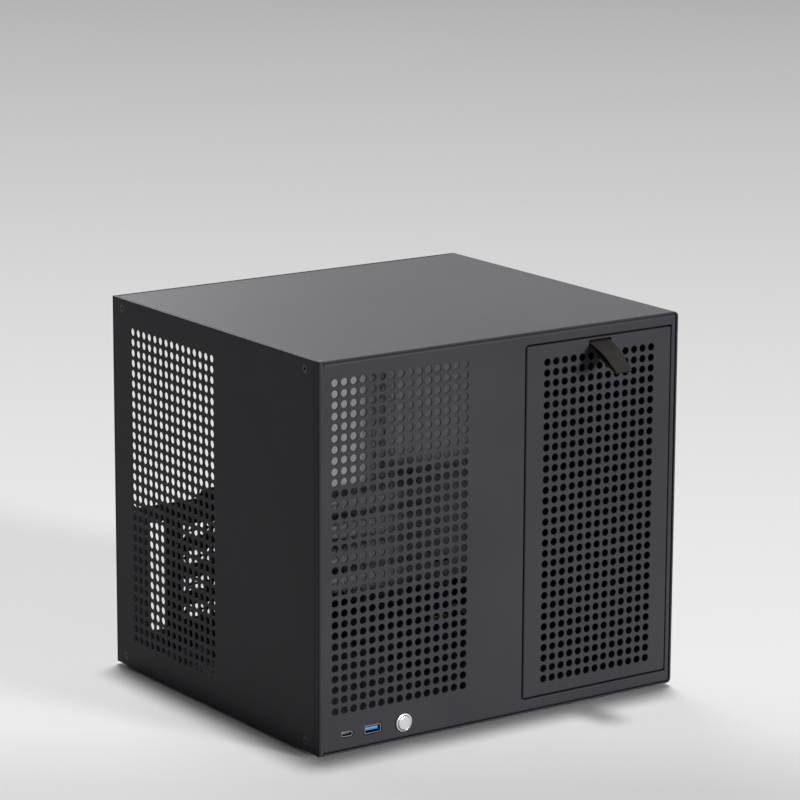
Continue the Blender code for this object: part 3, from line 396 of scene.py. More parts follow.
def round_off(radius, steps):
    """Bevels the selected edges to an arc."""
    bpy.ops.mesh.bevel(
        offset=radius, offset_type="OFFSET", segments=steps, affect="EDGES", clamp_overlap=True
    )


def change(obj, kind, **settings):
    """Adds a modifier, sets it and applies it."""
    object_mode()
    bpy.context.view_layer.objects.active = obj
    obj.select_set(True)
    bpy.ops.object.modifier_add(type=kind)
    added = obj.modifiers[-1]
    for name, value in settings.items():
        setattr(added, name, value)
    bpy.ops.object.modifier_apply(modifier=added.name)


def copy_rows(obj, across, columns, rise, rows):
    """Repeats a piece in columns and rows."""
    for step, count in ((across, columns), (rise, rows)):
        if count > 1:
            change(obj, "ARRAY", count=count, use_relative_offset=False, use_constant_offset=True,
                   constant_offset_displace=step, use_merge_vertices=False)


def face_out(obj, direction):
    """Makes an open skin's faces agree, pointing along a direction where they first face that way."""
    edit_mode(obj)
    bpy.ops.mesh.select_all(action="SELECT")
    bpy.ops.mesh.normals_make_consistent(inside=False)
    bm = bmesh.from_edit_mesh(obj.data)
    along = [face for face in bm.faces if abs(face.normal.dot(direction)) > 0.9]
    largest = max(along, key=lambda face: face.calc_area())
    if largest.normal.dot(direction) < 0:
        bpy.ops.mesh.flip_normals()


def thicken(obj, direction, thickness=SHEET):
    """Gives an open skin its sheet thickness on the inner side."""
    edit_mode(obj)
    bpy.ops.mesh.select_all(action="SELECT")
    bpy.ops.mesh.remove_doubles(threshold=MERGE)
    face_out(obj, direction)
    change(obj, "SOLIDIFY", thickness=thickness, offset=-1, use_even_offset=True)


def ring_turn(axis):
    """Rotation that stands a circle square to an axis."""
    return {"x": (0, math.pi / 2, 0), "y": (math.pi / 2, 0, 0), "z": (0, 0, 0)}[axis]


def ring_scale(axis, scale):
    """Resize values that keep the axis's own direction as it is."""
    return tuple(1 if name == axis else scale for name in "xyz")


def add_rings(name, centre, axis, profile, sides):
    """A round wall drawn out ring by ring, from (radius, height along the axis) pairs."""
    object_mode()
    radius, height = profile[0]
    at = centre + AXES[axis] * height
    bpy.ops.mesh.primitive_circle_add(
        vertices=sides, radius=radius, fill_type="NOTHING", location=at, rotation=ring_turn(axis)
    )
    obj = settle(name)
    bpy.context.tool_settings.mesh_select_mode = MODES["edges"]
    edit_mode(obj)
    bpy.ops.mesh.select_all(action="SELECT")
    for (before, low), (after, high) in zip(profile, profile[1:]):
        draw_out(**{axis: high - low})
        if after != before:
            middle = centre + AXES[axis] * high
            bpy.ops.transform.resize(value=ring_scale(axis, after / before), center_override=middle)
    return obj


def cap_ends(obj):
    """Closes a round wall's open ends."""
    edit_mode(obj)
    bpy.ops.mesh.select_mode(type="EDGE")
    bpy.ops.mesh.select_all(action="DESELECT")
    bpy.ops.mesh.select_non_manifold(extend=False, use_wire=False, use_multi_face=False,
                                     use_non_contiguous=False, use_verts=False)
    bpy.ops.mesh.edge_face_add()


def hole_profile(radius):
    """Wall of a punched hole through one sheet, its edges rounded by the paint."""
    edge = sizes().hole_edge
    return [(radius + edge, 0), (radius, edge), (radius, SHEET - edge), (radius + edge, SHEET)]


def trace(name, points):
    """Draws a closed outline from corner to corner, starting from one vert."""
    object_mode()
    bpy.ops.mesh.primitive_plane_add(size=1, location=points[0])
    obj = settle(name)
    bpy.context.tool_settings.mesh_select_mode = MODES["verts"]
    edit_mode(obj)
    bpy.ops.mesh.select_all(action="SELECT")
    bpy.ops.mesh.merge(type="CENTER")
    for before, after in zip(points, points[1:]):
        bpy.ops.mesh.extrude_vertices_move(TRANSFORM_OT_translate={"value": after - before})
    choose("verts", lambda vert: len(vert.link_edges) == 1)
    bpy.ops.mesh.edge_face_add()
    bpy.ops.mesh.select_all(action="SELECT")
    return obj


def rounded(centre, half_x, half_z, radius, steps=5):
    """Corner points of a rectangle with round corners, facing the front."""
    points = []
    for quarter, (sx, sz) in enumerate(((1, 1), (-1, 1), (-1, -1), (1, -1))):
        middle = centre + Vector((sx * (half_x - radius), 0, sz * (half_z - radius)))
        for step in range(steps + 1):
            turn = math.pi / 2 * (quarter + step / steps)
            point = middle + radius * Vector((math.cos(turn), 0, math.sin(turn)))
            if not points or (point - points[-1]).length > NEAR:
                points.append(point)
    if (points[0] - points[-1]).length < NEAR:
        points.pop()
    return points


def join(obj, *others):
    """Joins other meshes into one object."""
    object_mode()
    for other in others:
        other.select_set(True)
    obj.select_set(True)
    bpy.context.view_layer.objects.active = obj
    bpy.ops.object.join()
    return obj


def open_cell(obj, axis, faces, cell):
    """Takes a cell out of both faces of a sheet."""
    edit_mode(obj)
    for value in faces:
        drop(**{axis: value}, **cell)


def fit_holes(obj, walls, axis, faces, cell):
    """Opens a cell of a sheet on both faces and fills it again round the holes' walls."""
    open_cell(obj, axis, faces, cell)
    join(obj, *walls)
    edit_mode(obj)
    for value in faces:
        pick("edges", border=True, **{axis: value}, **cell)
        bpy.ops.mesh.fill(use_beauty=True)
    drop_slivers()


def drop_slivers():
    """Deletes the faces without area that a fill lays over an edge which has its two faces already."""

    def wanted(face):
        return any(len(edge.link_faces) > 2 for edge in face.edges) and face.calc_area() < SLIVER

    choose("faces", wanted)
    bpy.ops.mesh.delete(type="FACE")


def bridge_cell(obj, axis, faces, cell):
    """Opens a cell of a sheet right through, with plain walls."""
    open_cell(obj, axis, faces, cell)
    pick("edges", border=True, **{axis: (min(faces), max(faces))}, **cell)
    bpy.ops.mesh.bridge_edge_loops()


def field(name, first, across, columns, axis):
    """Walls of a field of punched holes, from its first hole."""
    values = sizes()
    walls = add_rings(name, first, axis, hole_profile(values.hole_diameter / 2), values.hole_sides)
    copy_rows(walls, across * values.pitch, columns, AXES["z"] * values.pitch, values.rows)
    return walls


def field_cell(first, across, columns):
    """The cell of a sheet that a field of holes takes up, from its first hole."""
    values = sizes()
    margin = values.pitch / 2
    start = first.dot(across)
    end = start + values.pitch * (columns - 1)
    top = first.z + values.pitch * (values.rows - 1)
    return (start - margin, end + margin), (first.z - margin, top + margin)


def finish_mesh(obj, smooth=30):
    """Turns the faces outwards and shades the rounded ones smooth, with flat ones kept flat."""
    edit_mode(obj)
    bpy.ops.mesh.select_all(action="SELECT")
    bpy.ops.mesh.remove_doubles(threshold=WELD)
    bpy.ops.mesh.normals_make_consistent(inside=False)
    object_mode()
    bpy.context.view_layer.objects.active = obj
    obj.select_set(True)
    bpy.ops.object.shade_smooth_by_angle(angle=math.radians(smooth))
    change(obj, "WEIGHTED_NORMAL", mode="FACE_AREA", weight=50, keep_sharp=True)


def copy_at(obj, name, shift):
    """A copy with its own mesh, moved by a shift."""
    object_mode()
    bpy.context.view_layer.objects.active = obj
    obj.select_set(True)
    bpy.ops.object.duplicate(linked=False)
    bpy.ops.transform.translate(value=shift)
    return settle(name)


def hand_over(obj, finish, slot, body, *nodes):
    """Gives a piece its finish and its body, and hides the nodes it stands for."""
    obj.data.materials.clear()
    obj.data.materials.append(finish)
    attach(obj, body)
    if nodes:
        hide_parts(*nodes)


def numbered(name, many):
    """The names of like nodes, counted from one."""
    return [f"{name}_{number}" for number in range(1, many + 1)]


def repeat(obj, name, nodes, finish, slot):
    """Hands over a finished piece for the first node, and a copy of it for each of the others."""
    hand_over(obj, finish, slot, "case", nodes[0])
    for number, node in enumerate(nodes[1:], 2):
        piece = copy_at(obj, f"{name}_{number}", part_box(node)[0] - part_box(nodes[0])[0])
        hand_over(piece, finish, slot, "case", node)


def once(make):
    """Makes a finish the first time it is asked for, and finds it by its name after that."""

    def find_or_make(name, *settings):
        return bpy.data.materials.get(name) or make(name, *settings)

    return find_or_make


def new_finish(name, base, roughness, metallic=0.0, specular=0.5):
    """A new material, with its nodes' tree and its shader."""
    material = bpy.data.materials.new(name)
    material.use_nodes = True
    tree = material.node_tree
    shader = tree.nodes["Principled BSDF"]
    shader.inputs["Base Color"].default_value = (*base, 1)
    shader.inputs["Roughness"].default_value = roughness
    shader.inputs["Metallic"].default_value = metallic
    shader.inputs["Specular IOR Level"].default_value = specular
    material.diffuse_color = (*base, 1)
    return material, tree, shader


def own_place(tree):
    """The object's own coordinates, in metres."""
    return tree.nodes.new("ShaderNodeTexCoord").outputs["Object"]


def add_noise(tree, scale, detail):
    """Noise on the object's own coordinates."""
    noise = tree.nodes.new("ShaderNodeTexNoise")
    noise.inputs["Scale"].default_value = scale
    noise.inputs["Detail"].default_value = detail
    tree.links.new(own_place(tree), noise.inputs["Vector"])
    return noise.outputs["Fac"]


def add_ramp(tree, source, low, high, start=0.3, end=0.7):
    """Turns a value into a range of greys or colours."""
    ramp = tree.nodes.new("ShaderNodeValToRGB")
    stops = ramp.color_ramp.elements
    stops[0].position = start
    stops[1].position = end
    stops[0].color = (*low, 1)
    stops[1].color = (*high, 1)
    tree.links.new(source, ramp.inputs["Fac"])
    return ramp


def map_share(tree, source, start, end):
    """How far a value has come from one value to another, from 0 to 1."""
    share = tree.nodes.new("ShaderNodeMapRange")
    share.inputs["From Min"].default_value = start
    share.inputs["From Max"].default_value = end
    tree.links.new(source, share.inputs["Value"])
    return share.outputs["Result"]


def multiply(tree, first, second, share):
    """One colour times a share of another."""
    mix = tree.nodes.new("ShaderNodeMix")
    mix.data_type = "RGBA"
    mix.blend_type = "MULTIPLY"
    mix.inputs["Factor"].default_value = share
    tree.links.new(first, mix.inputs["A"])
    tree.links.new(second, mix.inputs["B"])
    return mix.outputs["Result"]


def vary_colour(tree, shader, source, base, low, high, start=0.3, end=0.7):
    """Lets the colour wander between two shares of itself."""
    ramp = add_ramp(tree, source, [c * low for c in base], [c * high for c in base], start, end)
    tree.links.new(ramp.outputs["Color"], shader.inputs["Base Color"])


def vary_roughness(tree, shader, source, low, high):
    """Lets the roughness wander between two values."""
    ramp = add_ramp(tree, source, (low,) * 3, (high,) * 3)
    tree.links.new(ramp.outputs["Color"], shader.inputs["Roughness"])


def add_bump(tree, shader, height, strength, distance):
    """Fine relief on the surface."""
    bump = tree.nodes.new("ShaderNodeBump")
    bump.inputs["Strength"].default_value = strength
    bump.inputs["Distance"].default_value = distance
    tree.links.new(height, bump.inputs["Height"])
    tree.links.new(bump.outputs["Normal"], shader.inputs["Normal"])


@once
def powder_coat(name, base, roughness):
    """Fine-textured matt powder coat."""
    material, tree, shader = new_finish(name, base, roughness, specular=0.06)
    vary_colour(tree, shader, add_noise(tree, 9, 3), base, 0.9, 1.1)
    grain = add_noise(tree, 2600, 2)
    vary_roughness(tree, shader, grain, roughness - 0.06, roughness + 0.08)
    add_bump(tree, shader, grain, 0.35, 0.00006)
    return material


@once
def bare_metal(name, base, roughness):
    """Metal with a fine drawn or machined grain."""
    material, tree, shader = new_finish(name, base, roughness, metallic=1.0)
    grain = add_noise(tree, 1800, 3)
    vary_roughness(tree, shader, grain, roughness * 0.75, roughness * 1.3)
    vary_colour(tree, shader, grain, base, 0.92, 1.0)
    add_bump(tree, shader, grain, 0.15, 0.00003)
    return material


@once
def moulded_plastic(name, base, roughness):
    """Moulded plastic with a slight mottle."""
    material, tree, shader = new_finish(name, base, roughness)
    mottle = add_noise(tree, 700, 2)
    vary_colour(tree, shader, mottle, base, 0.9, 1.0)
    add_bump(tree, shader, mottle, 0.12, 0.00005)
    return material


@once
def leather_finish(name, shade):
    """Dark leather with cells of grain and rubbed, lighter ridges."""
    base = [c * shade for c in finishes().leather]
    material, tree, shader = new_finish(name, base, 0.55, specular=0.12)
    cells = tree.nodes.new("ShaderNodeTexVoronoi")
    cells.feature = "DISTANCE_TO_EDGE"
    cells.inputs["Scale"].default_value = 1500
    tree.links.new(own_place(tree), cells.inputs["Vector"])
    creases = add_noise(tree, 330, 5)
    grain = add_ramp(tree, cells.outputs["Distance"], (0, 0, 0), (1, 1, 1), 0.0, 0.12)
    relief = multiply(tree, grain.outputs["Color"], creases, 0.6)
    vary_colour(tree, shader, relief, base, 0.55, 1.9, 0.1, 0.75)
    vary_roughness(tree, shader, creases, 0.46, 0.68)
    add_bump(tree, shader, relief, 0.5, 0.00015)
    return material


@once
def board_finish(name):
    """Green lacquered circuit board with a hint of its weave."""
    base = (0.012, 0.075, 0.030)
    material, tree, shader = new_finish(name, base, 0.35)
    weave = tree.nodes.new("ShaderNodeTexWave")
    weave.inputs["Scale"].default_value = 900
    weave.inputs["Distortion"].default_value = 1.5
    tree.links.new(own_place(tree), weave.inputs["Vector"])
    vary_colour(tree, shader, weave.outputs["Fac"], base, 0.8, 1.25)
    return material


@once
def zinc_plate(name):
    """Bright zinc of the tray with faint spangles, and painted shade that darkens its front half."""
    bright = (0.35, 0.35, 0.36)
    material, tree, shader = new_finish(name, bright, 0.2, metallic=1.0)
    apart = tree.nodes.new("ShaderNodeSeparateXYZ")
    tree.links.new(own_place(tree), apart.inputs["Vector"])
    # Painted shade: the zinc's colour darkens from mid-depth towards the front of the tray.
    depth = map_share(tree, apart.outputs["Y"], ZINC_PAINTED_SHADE_FULL, ZINC_PAINTED_SHADE_END)
    painted_shade = add_ramp(tree, depth, (0.11, 0.11, 0.112), bright, 0.0, 1.0)
    spangle = add_noise(tree, 170, 2)
    flakes = add_ramp(tree, spangle, (0.86,) * 3, (1.0,) * 3)
    mixed = multiply(tree, painted_shade.outputs["Color"], flakes.outputs["Color"], 1.0)
    tree.links.new(mixed, shader.inputs["Base Color"])
    vary_roughness(tree, shader, spangle, 0.15, 0.24)
    return material


def outer_paint():
    """The powder coat of the outer sheets."""
    return powder_coat("black powder coat", finishes().paint, 0.32)


def inner_coat():
    """The coat of the inner sheets."""
    return powder_coat("inner black coat", finishes().inner_paint, 0.55)


def screw_metal():
    """Blackened steel of the screws."""
    return bare_metal("blackened steel", (0.035, 0.035, 0.038), 0.42)


def plain_metal():
    """Nickel-plated steel of the sockets, pins and nut."""
    return bare_metal("plated steel", (0.32, 0.30, 0.285), 0.25)


class CASE_OT_front_panel(bpy.types.Operator):
    """Fold and punch the front panel with its framed door opening"""

    bl_idname = "case.front_panel"
    bl_label = "Front Panel"

    def execute(self, context):
        values = sizes()
        fold = values.fold_radius
        seat = SHEET + values.fit
        right = RIGHT - seat
        low = LOW + seat
        high = HIGH - seat
        tab = LEFT + fold + BEND_PLAY
        tab_end = LEFT + seat + fold - values.fit
        corner = LEFT + seat + fold + values.fit
        start = corner + values.relief
        notch = fold + BEND_PLAY
        open_left = DOOR[0].x - values.door_gap
        open_right = DOOR[1].x + values.door_right_gap
        open_low = DOOR[0].z - values.door_gap
        open_high = DOOR[1].z + values.door_gap
        wall_end = open_right - values.relief
        across = AXES["x"]
        first = Vector((LEFT + values.front_first[0], FRONT, LOW + values.front_first[1]))
        field_x, field_z = field_cell(first, across, values.front_columns)
        port_x = (LEFT + PORT_CELL[0], LEFT + PORT_CELL[1])
        port_z = (low + PORT_CELL_RISE, field_z[0] - PORT_CELL_DROP)
        obj = add_upright("front_sheet", LEFT, right, LOW, HIGH, FRONT)
        edit_mode(obj)
        cut("x", tab, tab_end, corner, start, *port_x, *field_x, open_left, wall_end, open_right)
        cut("z", low, low + notch, *port_z, *field_z, open_low, open_high, high - notch, high)
        for z in ((LOW, low), (high, HIGH)):
            drop(x=(tab_end, right), z=z)
        for z in ((low, low + notch), (high - notch, high)):
            drop(x=(corner, start), z=z)
        drop(x=(open_left, open_right), z=(open_low, open_high))
        pick("edges", border=True, x=(start, right), z=high)
        pick("edges", border=True, extend=True, x=(start, right), z=low)
        pick("edges", border=True, extend=True, x=right)
        draw_out(y=PANEL_RETURN)
        pick("edges", border=True, x=LEFT)
        draw_out(y=SIDE[0].y - values.fit - FRONT)
        frame_depth = DOOR[1].y - FRONT - fold + MAGNET + 2 * values.fit
        pick("edges", border=True, x=open_left, z=(open_low, open_high))
        pick("edges", border=True, extend=True, x=(open_left, open_right), z=open_low)
        pick("edges", border=True, extend=True, x=(open_left, wall_end), z=open_high)
        draw_out(y=frame_depth)
        pick("edges", border=True, x=(open_left, wall_end), y=FRONT + frame_depth, z=open_high)
        draw_out(y=fold)
        draw_out(z=-FRAME_LIP)
        pick("edges", x=(open_left, wall_end), y=FRONT + frame_depth + fold, z=open_high)
        round_off(fold, values.fold_steps)
        for z in (open_low, open_high):
            pick("edges", x=open_left, y=(FRONT, FRONT + frame_depth), z=z)
            round_off(fold + values.door_gap, values.fold_steps)
        self.round_front({"x": (open_left, open_right), "z": (open_low, open_high)}, right, (low, high))
        thicken(obj, Vector((0, -1, 0)))
        faces = (FRONT, FRONT + SHEET)
        walls = field("front_field", first, across, values.front_columns, "y")
        fit_holes(obj, [walls], "y", faces, {"x": field_x, "z": field_z})
        fit_holes(obj, self.port_walls(), "y", faces, {"x": port_x, "z": port_z})
        finish_mesh(obj)
        hand_over(obj, outer_paint(), "black_paint", "case", "front_panel")
        return {"FINISHED"}

    def round_front(self, opening, right, ends):
        """Rounds the outer edges of the face, then the edges round the door's opening."""

        def bent(edge):
            return len(edge.link_faces) == 2 and edge.calc_face_angle() > FOLDED

        def inside(edge):
            middle = (edge.verts[0].co + edge.verts[1].co) / 2
            in_x = opening["x"][0] - NEAR < middle.x < opening["x"][1] + NEAR
            return in_x and opening["z"][0] - NEAR < middle.z < opening["z"][1] + NEAR

        def outer(edge):
            corner = any(lies(edge, {"x": right, "z": end}) for end in ends)
            return bent(edge) and (corner or (lies(edge, {"y": FRONT}) and not inside(edge)))

        def inner(edge):
            return bent(edge) and lies(edge, {"y": FRONT}) and inside(edge)

        for wanted in (outer, inner):
            choose("edges", wanted)
            round_off(sizes().fold_radius, sizes().fold_steps)

    def port_walls(self):
        """Walls of the cut-outs for the two sockets and the button."""
        ports = (
            ("narrow_port", USB_C, NARROW_SOCKET_HEIGHT, NARROW_SOCKET_HEIGHT / 2 + PORT_PLAY),
            ("wide_port", USB_A, USB_A[1].z - USB_A[0].z, WIDE_PORT_RADIUS),
        )
        walls = []
        for name, (low, high), height, radius in ports:
            middle = centre((low, high), y=FRONT, z=high.z - height / 2)
            half_x = (high.x - low.x) / 2 + PORT_PLAY
            wall = trace(name, rounded(middle, half_x, height / 2 + PORT_PLAY, radius))
            draw_out(y=SHEET)
            walls.append(wall)
        middle = centre(HOUSING, y=FRONT)
        walls.append(add_rings("button_port", middle, "y", hole_profile(BUTTON_BORE), BUTTON_PORT_SIDES))
        return walls


class CASE_OT_door(bpy.types.Operator):
    """Fold and punch the door, with the slot for its pull"""

    bl_idname = "case.door"
    bl_label = "Door"

    def execute(self, context):
        values = sizes()
        fold = values.fold_radius
        low, high = DOOR
        inset = fold + values.relief
        middle = (low.x + high.x) / 2
        across = AXES["x"]
        start = middle - values.pitch * (values.door_columns - 1) / 2
        first = Vector((start, FRONT, low.z + values.door_first))
        field_x, field_z = field_cell(first, across, values.door_columns)
        slot_middle = Vector((middle, FRONT, centre(BAR).z + PULL_SLOT_RISE))
        slot_half = (STRAP[1].x - STRAP[0].x) / 2 + PULL_SLOT_PLAY
        reach_x = slot_half + PULL_CELL_MARGINS[0]
        reach_z = PULL_SLOT_HALF + PULL_CELL_MARGINS[1]
        slot_x = (middle - reach_x, middle + reach_x)
        slot_z = (slot_middle.z - reach_z, slot_middle.z + reach_z)
        obj = add_upright("door_sheet", low.x, high.x, low.z, high.z, FRONT)
        edit_mode(obj)
        cut("x", low.x + inset, high.x - inset, *field_x, *slot_x)
        cut("z", *field_z, *slot_z)
        pick("edges", border=True)
        depth = high.y - FRONT - fold
        draw_out(y=depth)
        pick("edges", border=True, x=(low.x + inset, high.x - inset), y=FRONT + depth, z=high.z)
        draw_out(y=fold)
        draw_out(z=-DOOR_LIP)
        pick("edges", x=(low.x + inset, high.x - inset), y=FRONT + depth + fold, z=high.z)
        round_off(fold, values.fold_steps)
        bpy.ops.mesh.select_all(action="DESELECT")
        for x in (low.x, high.x):
            pick("edges", extend=True, y=FRONT, x=x)
            for z in (low.z, high.z):
                pick("edges", extend=True, y=FRONT, z=z)
                pick("edges", extend=True, x=x, y=(FRONT, FRONT + depth), z=z)
        round_off(fold, values.fold_steps)
        thicken(obj, Vector((0, -1, 0)))
        faces = (FRONT, FRONT + SHEET)
        walls = field("door_field", first, across, values.door_columns, "y")
        fit_holes(obj, [walls], "y", faces, {"x": field_x, "z": field_z})
        slot = trace("slot_wall", rounded(slot_middle, slot_half, PULL_SLOT_HALF, PULL_SLOT_RADIUS, 3))
        draw_out(y=SHEET)
        fit_holes(obj, [slot], "y", faces, {"x": slot_x, "z": slot_z})
        finish_mesh(obj)
        hand_over(obj, outer_paint(), "black_paint", "door", "door")
        return {"FINISHED"}


class CASE_OT_side_panel(bpy.types.Operator):
    """Punch the flat side panel and countersink its corners"""

    bl_idname = "case.side_panel"
    bl_label = "Side Panel"

    def execute(self, context):
        values = sizes()
        low, high = SIDE
        across = AXES["y"]
        rear = REAR[1].y - values.side_first[0]
        first = Vector((LEFT, rear - values.pitch * (values.side_columns - 1), LOW + values.side_first[1]))
        field_y, field_z = field_cell(first, across, values.side_columns)
        obj = add_block("side_sheet", low, high)
        edit_mode(obj)
        pick("edges", x=LEFT)
        round_off(values.fit, 2)
        spots = [centre(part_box(name), x=LEFT) for name in numbered("left_panel_screw", 4)]
        cell = COUNTERSINK + COUNTERSINK_MARGIN
        lines_y = sorted({round(spot.y + side * cell, 6) for spot in spots for side in (-1, 1)})
        lines_z = sorted({round(spot.z + side * cell, 6) for spot in spots for side in (-1, 1)})
        cut("y", *field_y, *lines_y)
        cut("z", *field_z, *lines_z)
        faces = (LEFT, LEFT + SHEET)
        walls = field("side_field", first, across, values.side_columns, "x")
        fit_holes(obj, [walls], "x", faces, {"y": field_y, "z": field_z})
        for spot in spots:
            sink = [(COUNTERSINK, 0), (SCREW_BORE, SHEET)]
            wall = add_rings("countersink", spot, "x", sink, SCREW_SIDES)
            around = {"y": (spot.y - cell, spot.y + cell), "z": (spot.z - cell, spot.z + cell)}
            fit_holes(obj, [wall], "x", faces, around)
        finish_mesh(obj)
        hand_over(obj, outer_paint(), "black_paint", "case", "left_panel")
        return {"FINISHED"}


class CASE_OT_shell(bpy.types.Operator):
    """Fold the shell that makes the top, right side and bottom"""

    bl_idname = "case.shell"
    bl_label = "Shell"

    def execute(self, context):
        values = sizes()
        fold = values.fold_radius
        left, front, low = SHELL[0].x, SHELL[0].y, SHELL[0].z
        right, rear, high = SHELL[1].x, SHELL[1].y, SHELL[1].z
        step_back = fold + values.fit
        near = left + fold + values.relief
        far = right - REAR_LIP - values.relief
        side_low = low + values.shell_radius + values.relief
        side_high = high - values.shell_radius - values.relief
        bend = left + fold + BEND_PLAY
        gap_y = rear - fold - LIP_PLAY
        obj = add_block("shell_sheet", SHELL[0], SHELL[1])
        edit_mode(obj)
        for side in ({"y": front}, {"y": rear}, {"x": left}):
            drop(**side)
        for z, shift in ((high, -PANEL_RETURN), (low, PANEL_RETURN)):
            pick("edges", border=True, x=left, z=z)
            draw_out(z=shift)
        cut("y", front + step_back, gap_y)
        cut("x", bend, near, far, far + values.relief)
        cut("z", side_low - values.relief, side_low, side_high, side_high + values.relief)
        drop(x=left, y=(front, front + step_back))
        for z in (low, high):
            drop(x=(left, bend), y=(front, front + step_back), z=z)
            drop(x=(bend, near), y=(gap_y, rear), z=z)
            drop(x=(far, far + values.relief), y=(gap_y, rear), z=z)
        for z in ((side_low - values.relief, side_low), (side_high, side_high + values.relief)):
            drop(x=right, y=(gap_y, rear), z=z)
        lips = (
            ({"x": (near, far), "z": low}, {"z": REAR_LIP}),
            ({"x": (near, far), "z": high}, {"z": -REAR_LIP}),
            ({"x": right, "z": (side_low, side_high)}, {"x": -REAR_LIP}),
        )
        for edge, shift in lips:
            pick("edges", border=True, y=rear, **edge)
            draw_out(**shift)
            pick("edges", y=rear, **edge)
            round_off(fold, values.fold_steps)
        for z in (low, high):
            pick("edges", x=left, z=z)
            round_off(fold, values.fold_steps)
            pick("edges", x=right, z=z)
            round_off(values.shell_radius, values.fold_steps + 3)
        thicken(obj, Vector((0, 0, 1)))
        finish_mesh(obj)
        hand_over(obj, outer_paint(), "black_paint", "case", "shell")
        return {"FINISHED"}


class CASE_OT_rear_panel(bpy.types.Operator):
    """Cut and punch the flat rear panel"""

    bl_idname = "case.rear_panel"
    bl_label = "Rear Panel"

    def execute(self, context):
        values = sizes()
        low, high = REAR
        across = AXES["x"]
        start = RIGHT - values.rear_first[0] - values.pitch * (values.rear_columns - 1)
        first = Vector((start, low.y, LOW + values.rear_first[1]))
        field_x, field_z = field_cell(first, across, values.rear_columns)
        obj = add_block("rear_sheet", low, high)
        edit_mode(obj)
        for z in (low.z, high.z):
            pick("edges", x=high.x, z=z)
            round_off(values.shell_radius, values.fold_steps + 3)
        covers = [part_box(name) for name in numbered("slot_cover", 4)]
        supply = self.cell(SUPPLY_EDGES, SUPPLY_MARGIN)
        cuts = [self.cell(PORT_EDGES, 0)]
        for box in covers:
            middle = centre(box).z
            slot_x = (LEFT + SLOT_LEFT, LEFT + PORT_EDGES[1] - values.fit)
            cuts.append({"x": slot_x, "z": (middle - SLOT_HEIGHT / 2, middle + SLOT_HEIGHT / 2)})
        slit_low = centre(covers[0]).z - SLOT_PITCH / 2
        slit_x = (LEFT + SLIT_LEFT, LEFT + SLIT_LEFT + SLIT_WIDTH)
        cuts.append({"x": slit_x, "z": (slit_low, slit_low + len(covers) * SLOT_PITCH)})
        lines_x = {round(value, 6) for cell in cuts + [supply] for value in cell["x"]}
        lines_z = {round(value, 6) for cell in cuts + [supply] for value in cell["z"]}
        cut("x", *field_x, *sorted(lines_x))
        cut("z", *field_z, *sorted(lines_z))
        faces = (low.y, high.y)
        for cell in cuts:
            bridge_cell(obj, "y", faces, cell)
        walls = field("rear_field", first, across, values.rear_columns, "y")
        fit_holes(obj, [walls], "y", faces, {"x": field_x, "z": field_z})
        opening = trace("supply_wall", supply_outline(low.y))
        draw_out(y=high.y - low.y)
        fit_holes(obj, [opening], "y", faces, supply)
        finish_mesh(obj)
        hand_over(obj, outer_paint(), "black_paint", "case", "rear_panel")
        return {"FINISHED"}

    def cell(self, edges, margin):
        """The cell of the panel between four edges, with a margin round them."""
        left, right, low, high = edges
        return {
            "x": (LEFT + left - margin, LEFT + right + margin),
            "z": (LOW + low - margin, LOW + high + margin),
        }


def supply_outline(y):
    """The power supply's opening: a rectangle with ears left for its four screws."""
    left, right, low, high = SUPPLY_EDGES
    ear = SUPPLY_EAR
    points = [
        (left + ear, low),
        (SUPPLY_EAR_X - ear, low),
        (SUPPLY_EAR_X - ear / 2, low + ear),
        (right, low + ear),
        (right, high - ear),
        (right - ear, high),
        (left + ear, high),
        (left, high - ear),
        (left, low + ear),
    ]
    return [Vector((LEFT + x, y, LOW + z)) for x, z in points]


class CASE_OT_slot_covers(bpy.types.Operator):
    """Punch one vented slot cover and copy it to the four slots"""

    bl_idname = "case.slot_covers"
    bl_label = "Slot Covers"

    def execute(self, context):
        covers = numbered("slot_cover", 4)
        low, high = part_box(covers[0])
        middle = (low.z + high.z) / 2
        start = LEFT + SLOT_LEFT
        end = high.x - VENT_CELL_END
        cell = {"x": (start, end), "z": (middle - VENT_BAND, middle + VENT_BAND)}
        obj = add_block("vented_cover_1", low, high)
        edit_mode(obj)
        cut("x", *cell["x"])
        cut("z", *cell["z"])
        first = Vector((start + VENT_ENDS[0], low.y, middle - VENT_PITCH / 2))
        vents = int((end - start - sum(VENT_ENDS)) / VENT_PITCH)
        profile = [(VENT_RADIUS, 0), (VENT_RADIUS, high.y - low.y)]
        walls = add_rings("vents", first, "y", profile, VENT_SIDES)
        copy_rows(walls, AXES["x"] * VENT_PITCH, vents, AXES["z"] * VENT_PITCH, 2)
        fit_holes(obj, [walls], "y", (low.y, high.y), cell)
        finish_mesh(obj)
        repeat(obj, "vented_cover", covers, outer_paint(), "black_paint")
        return {"FINISHED"}


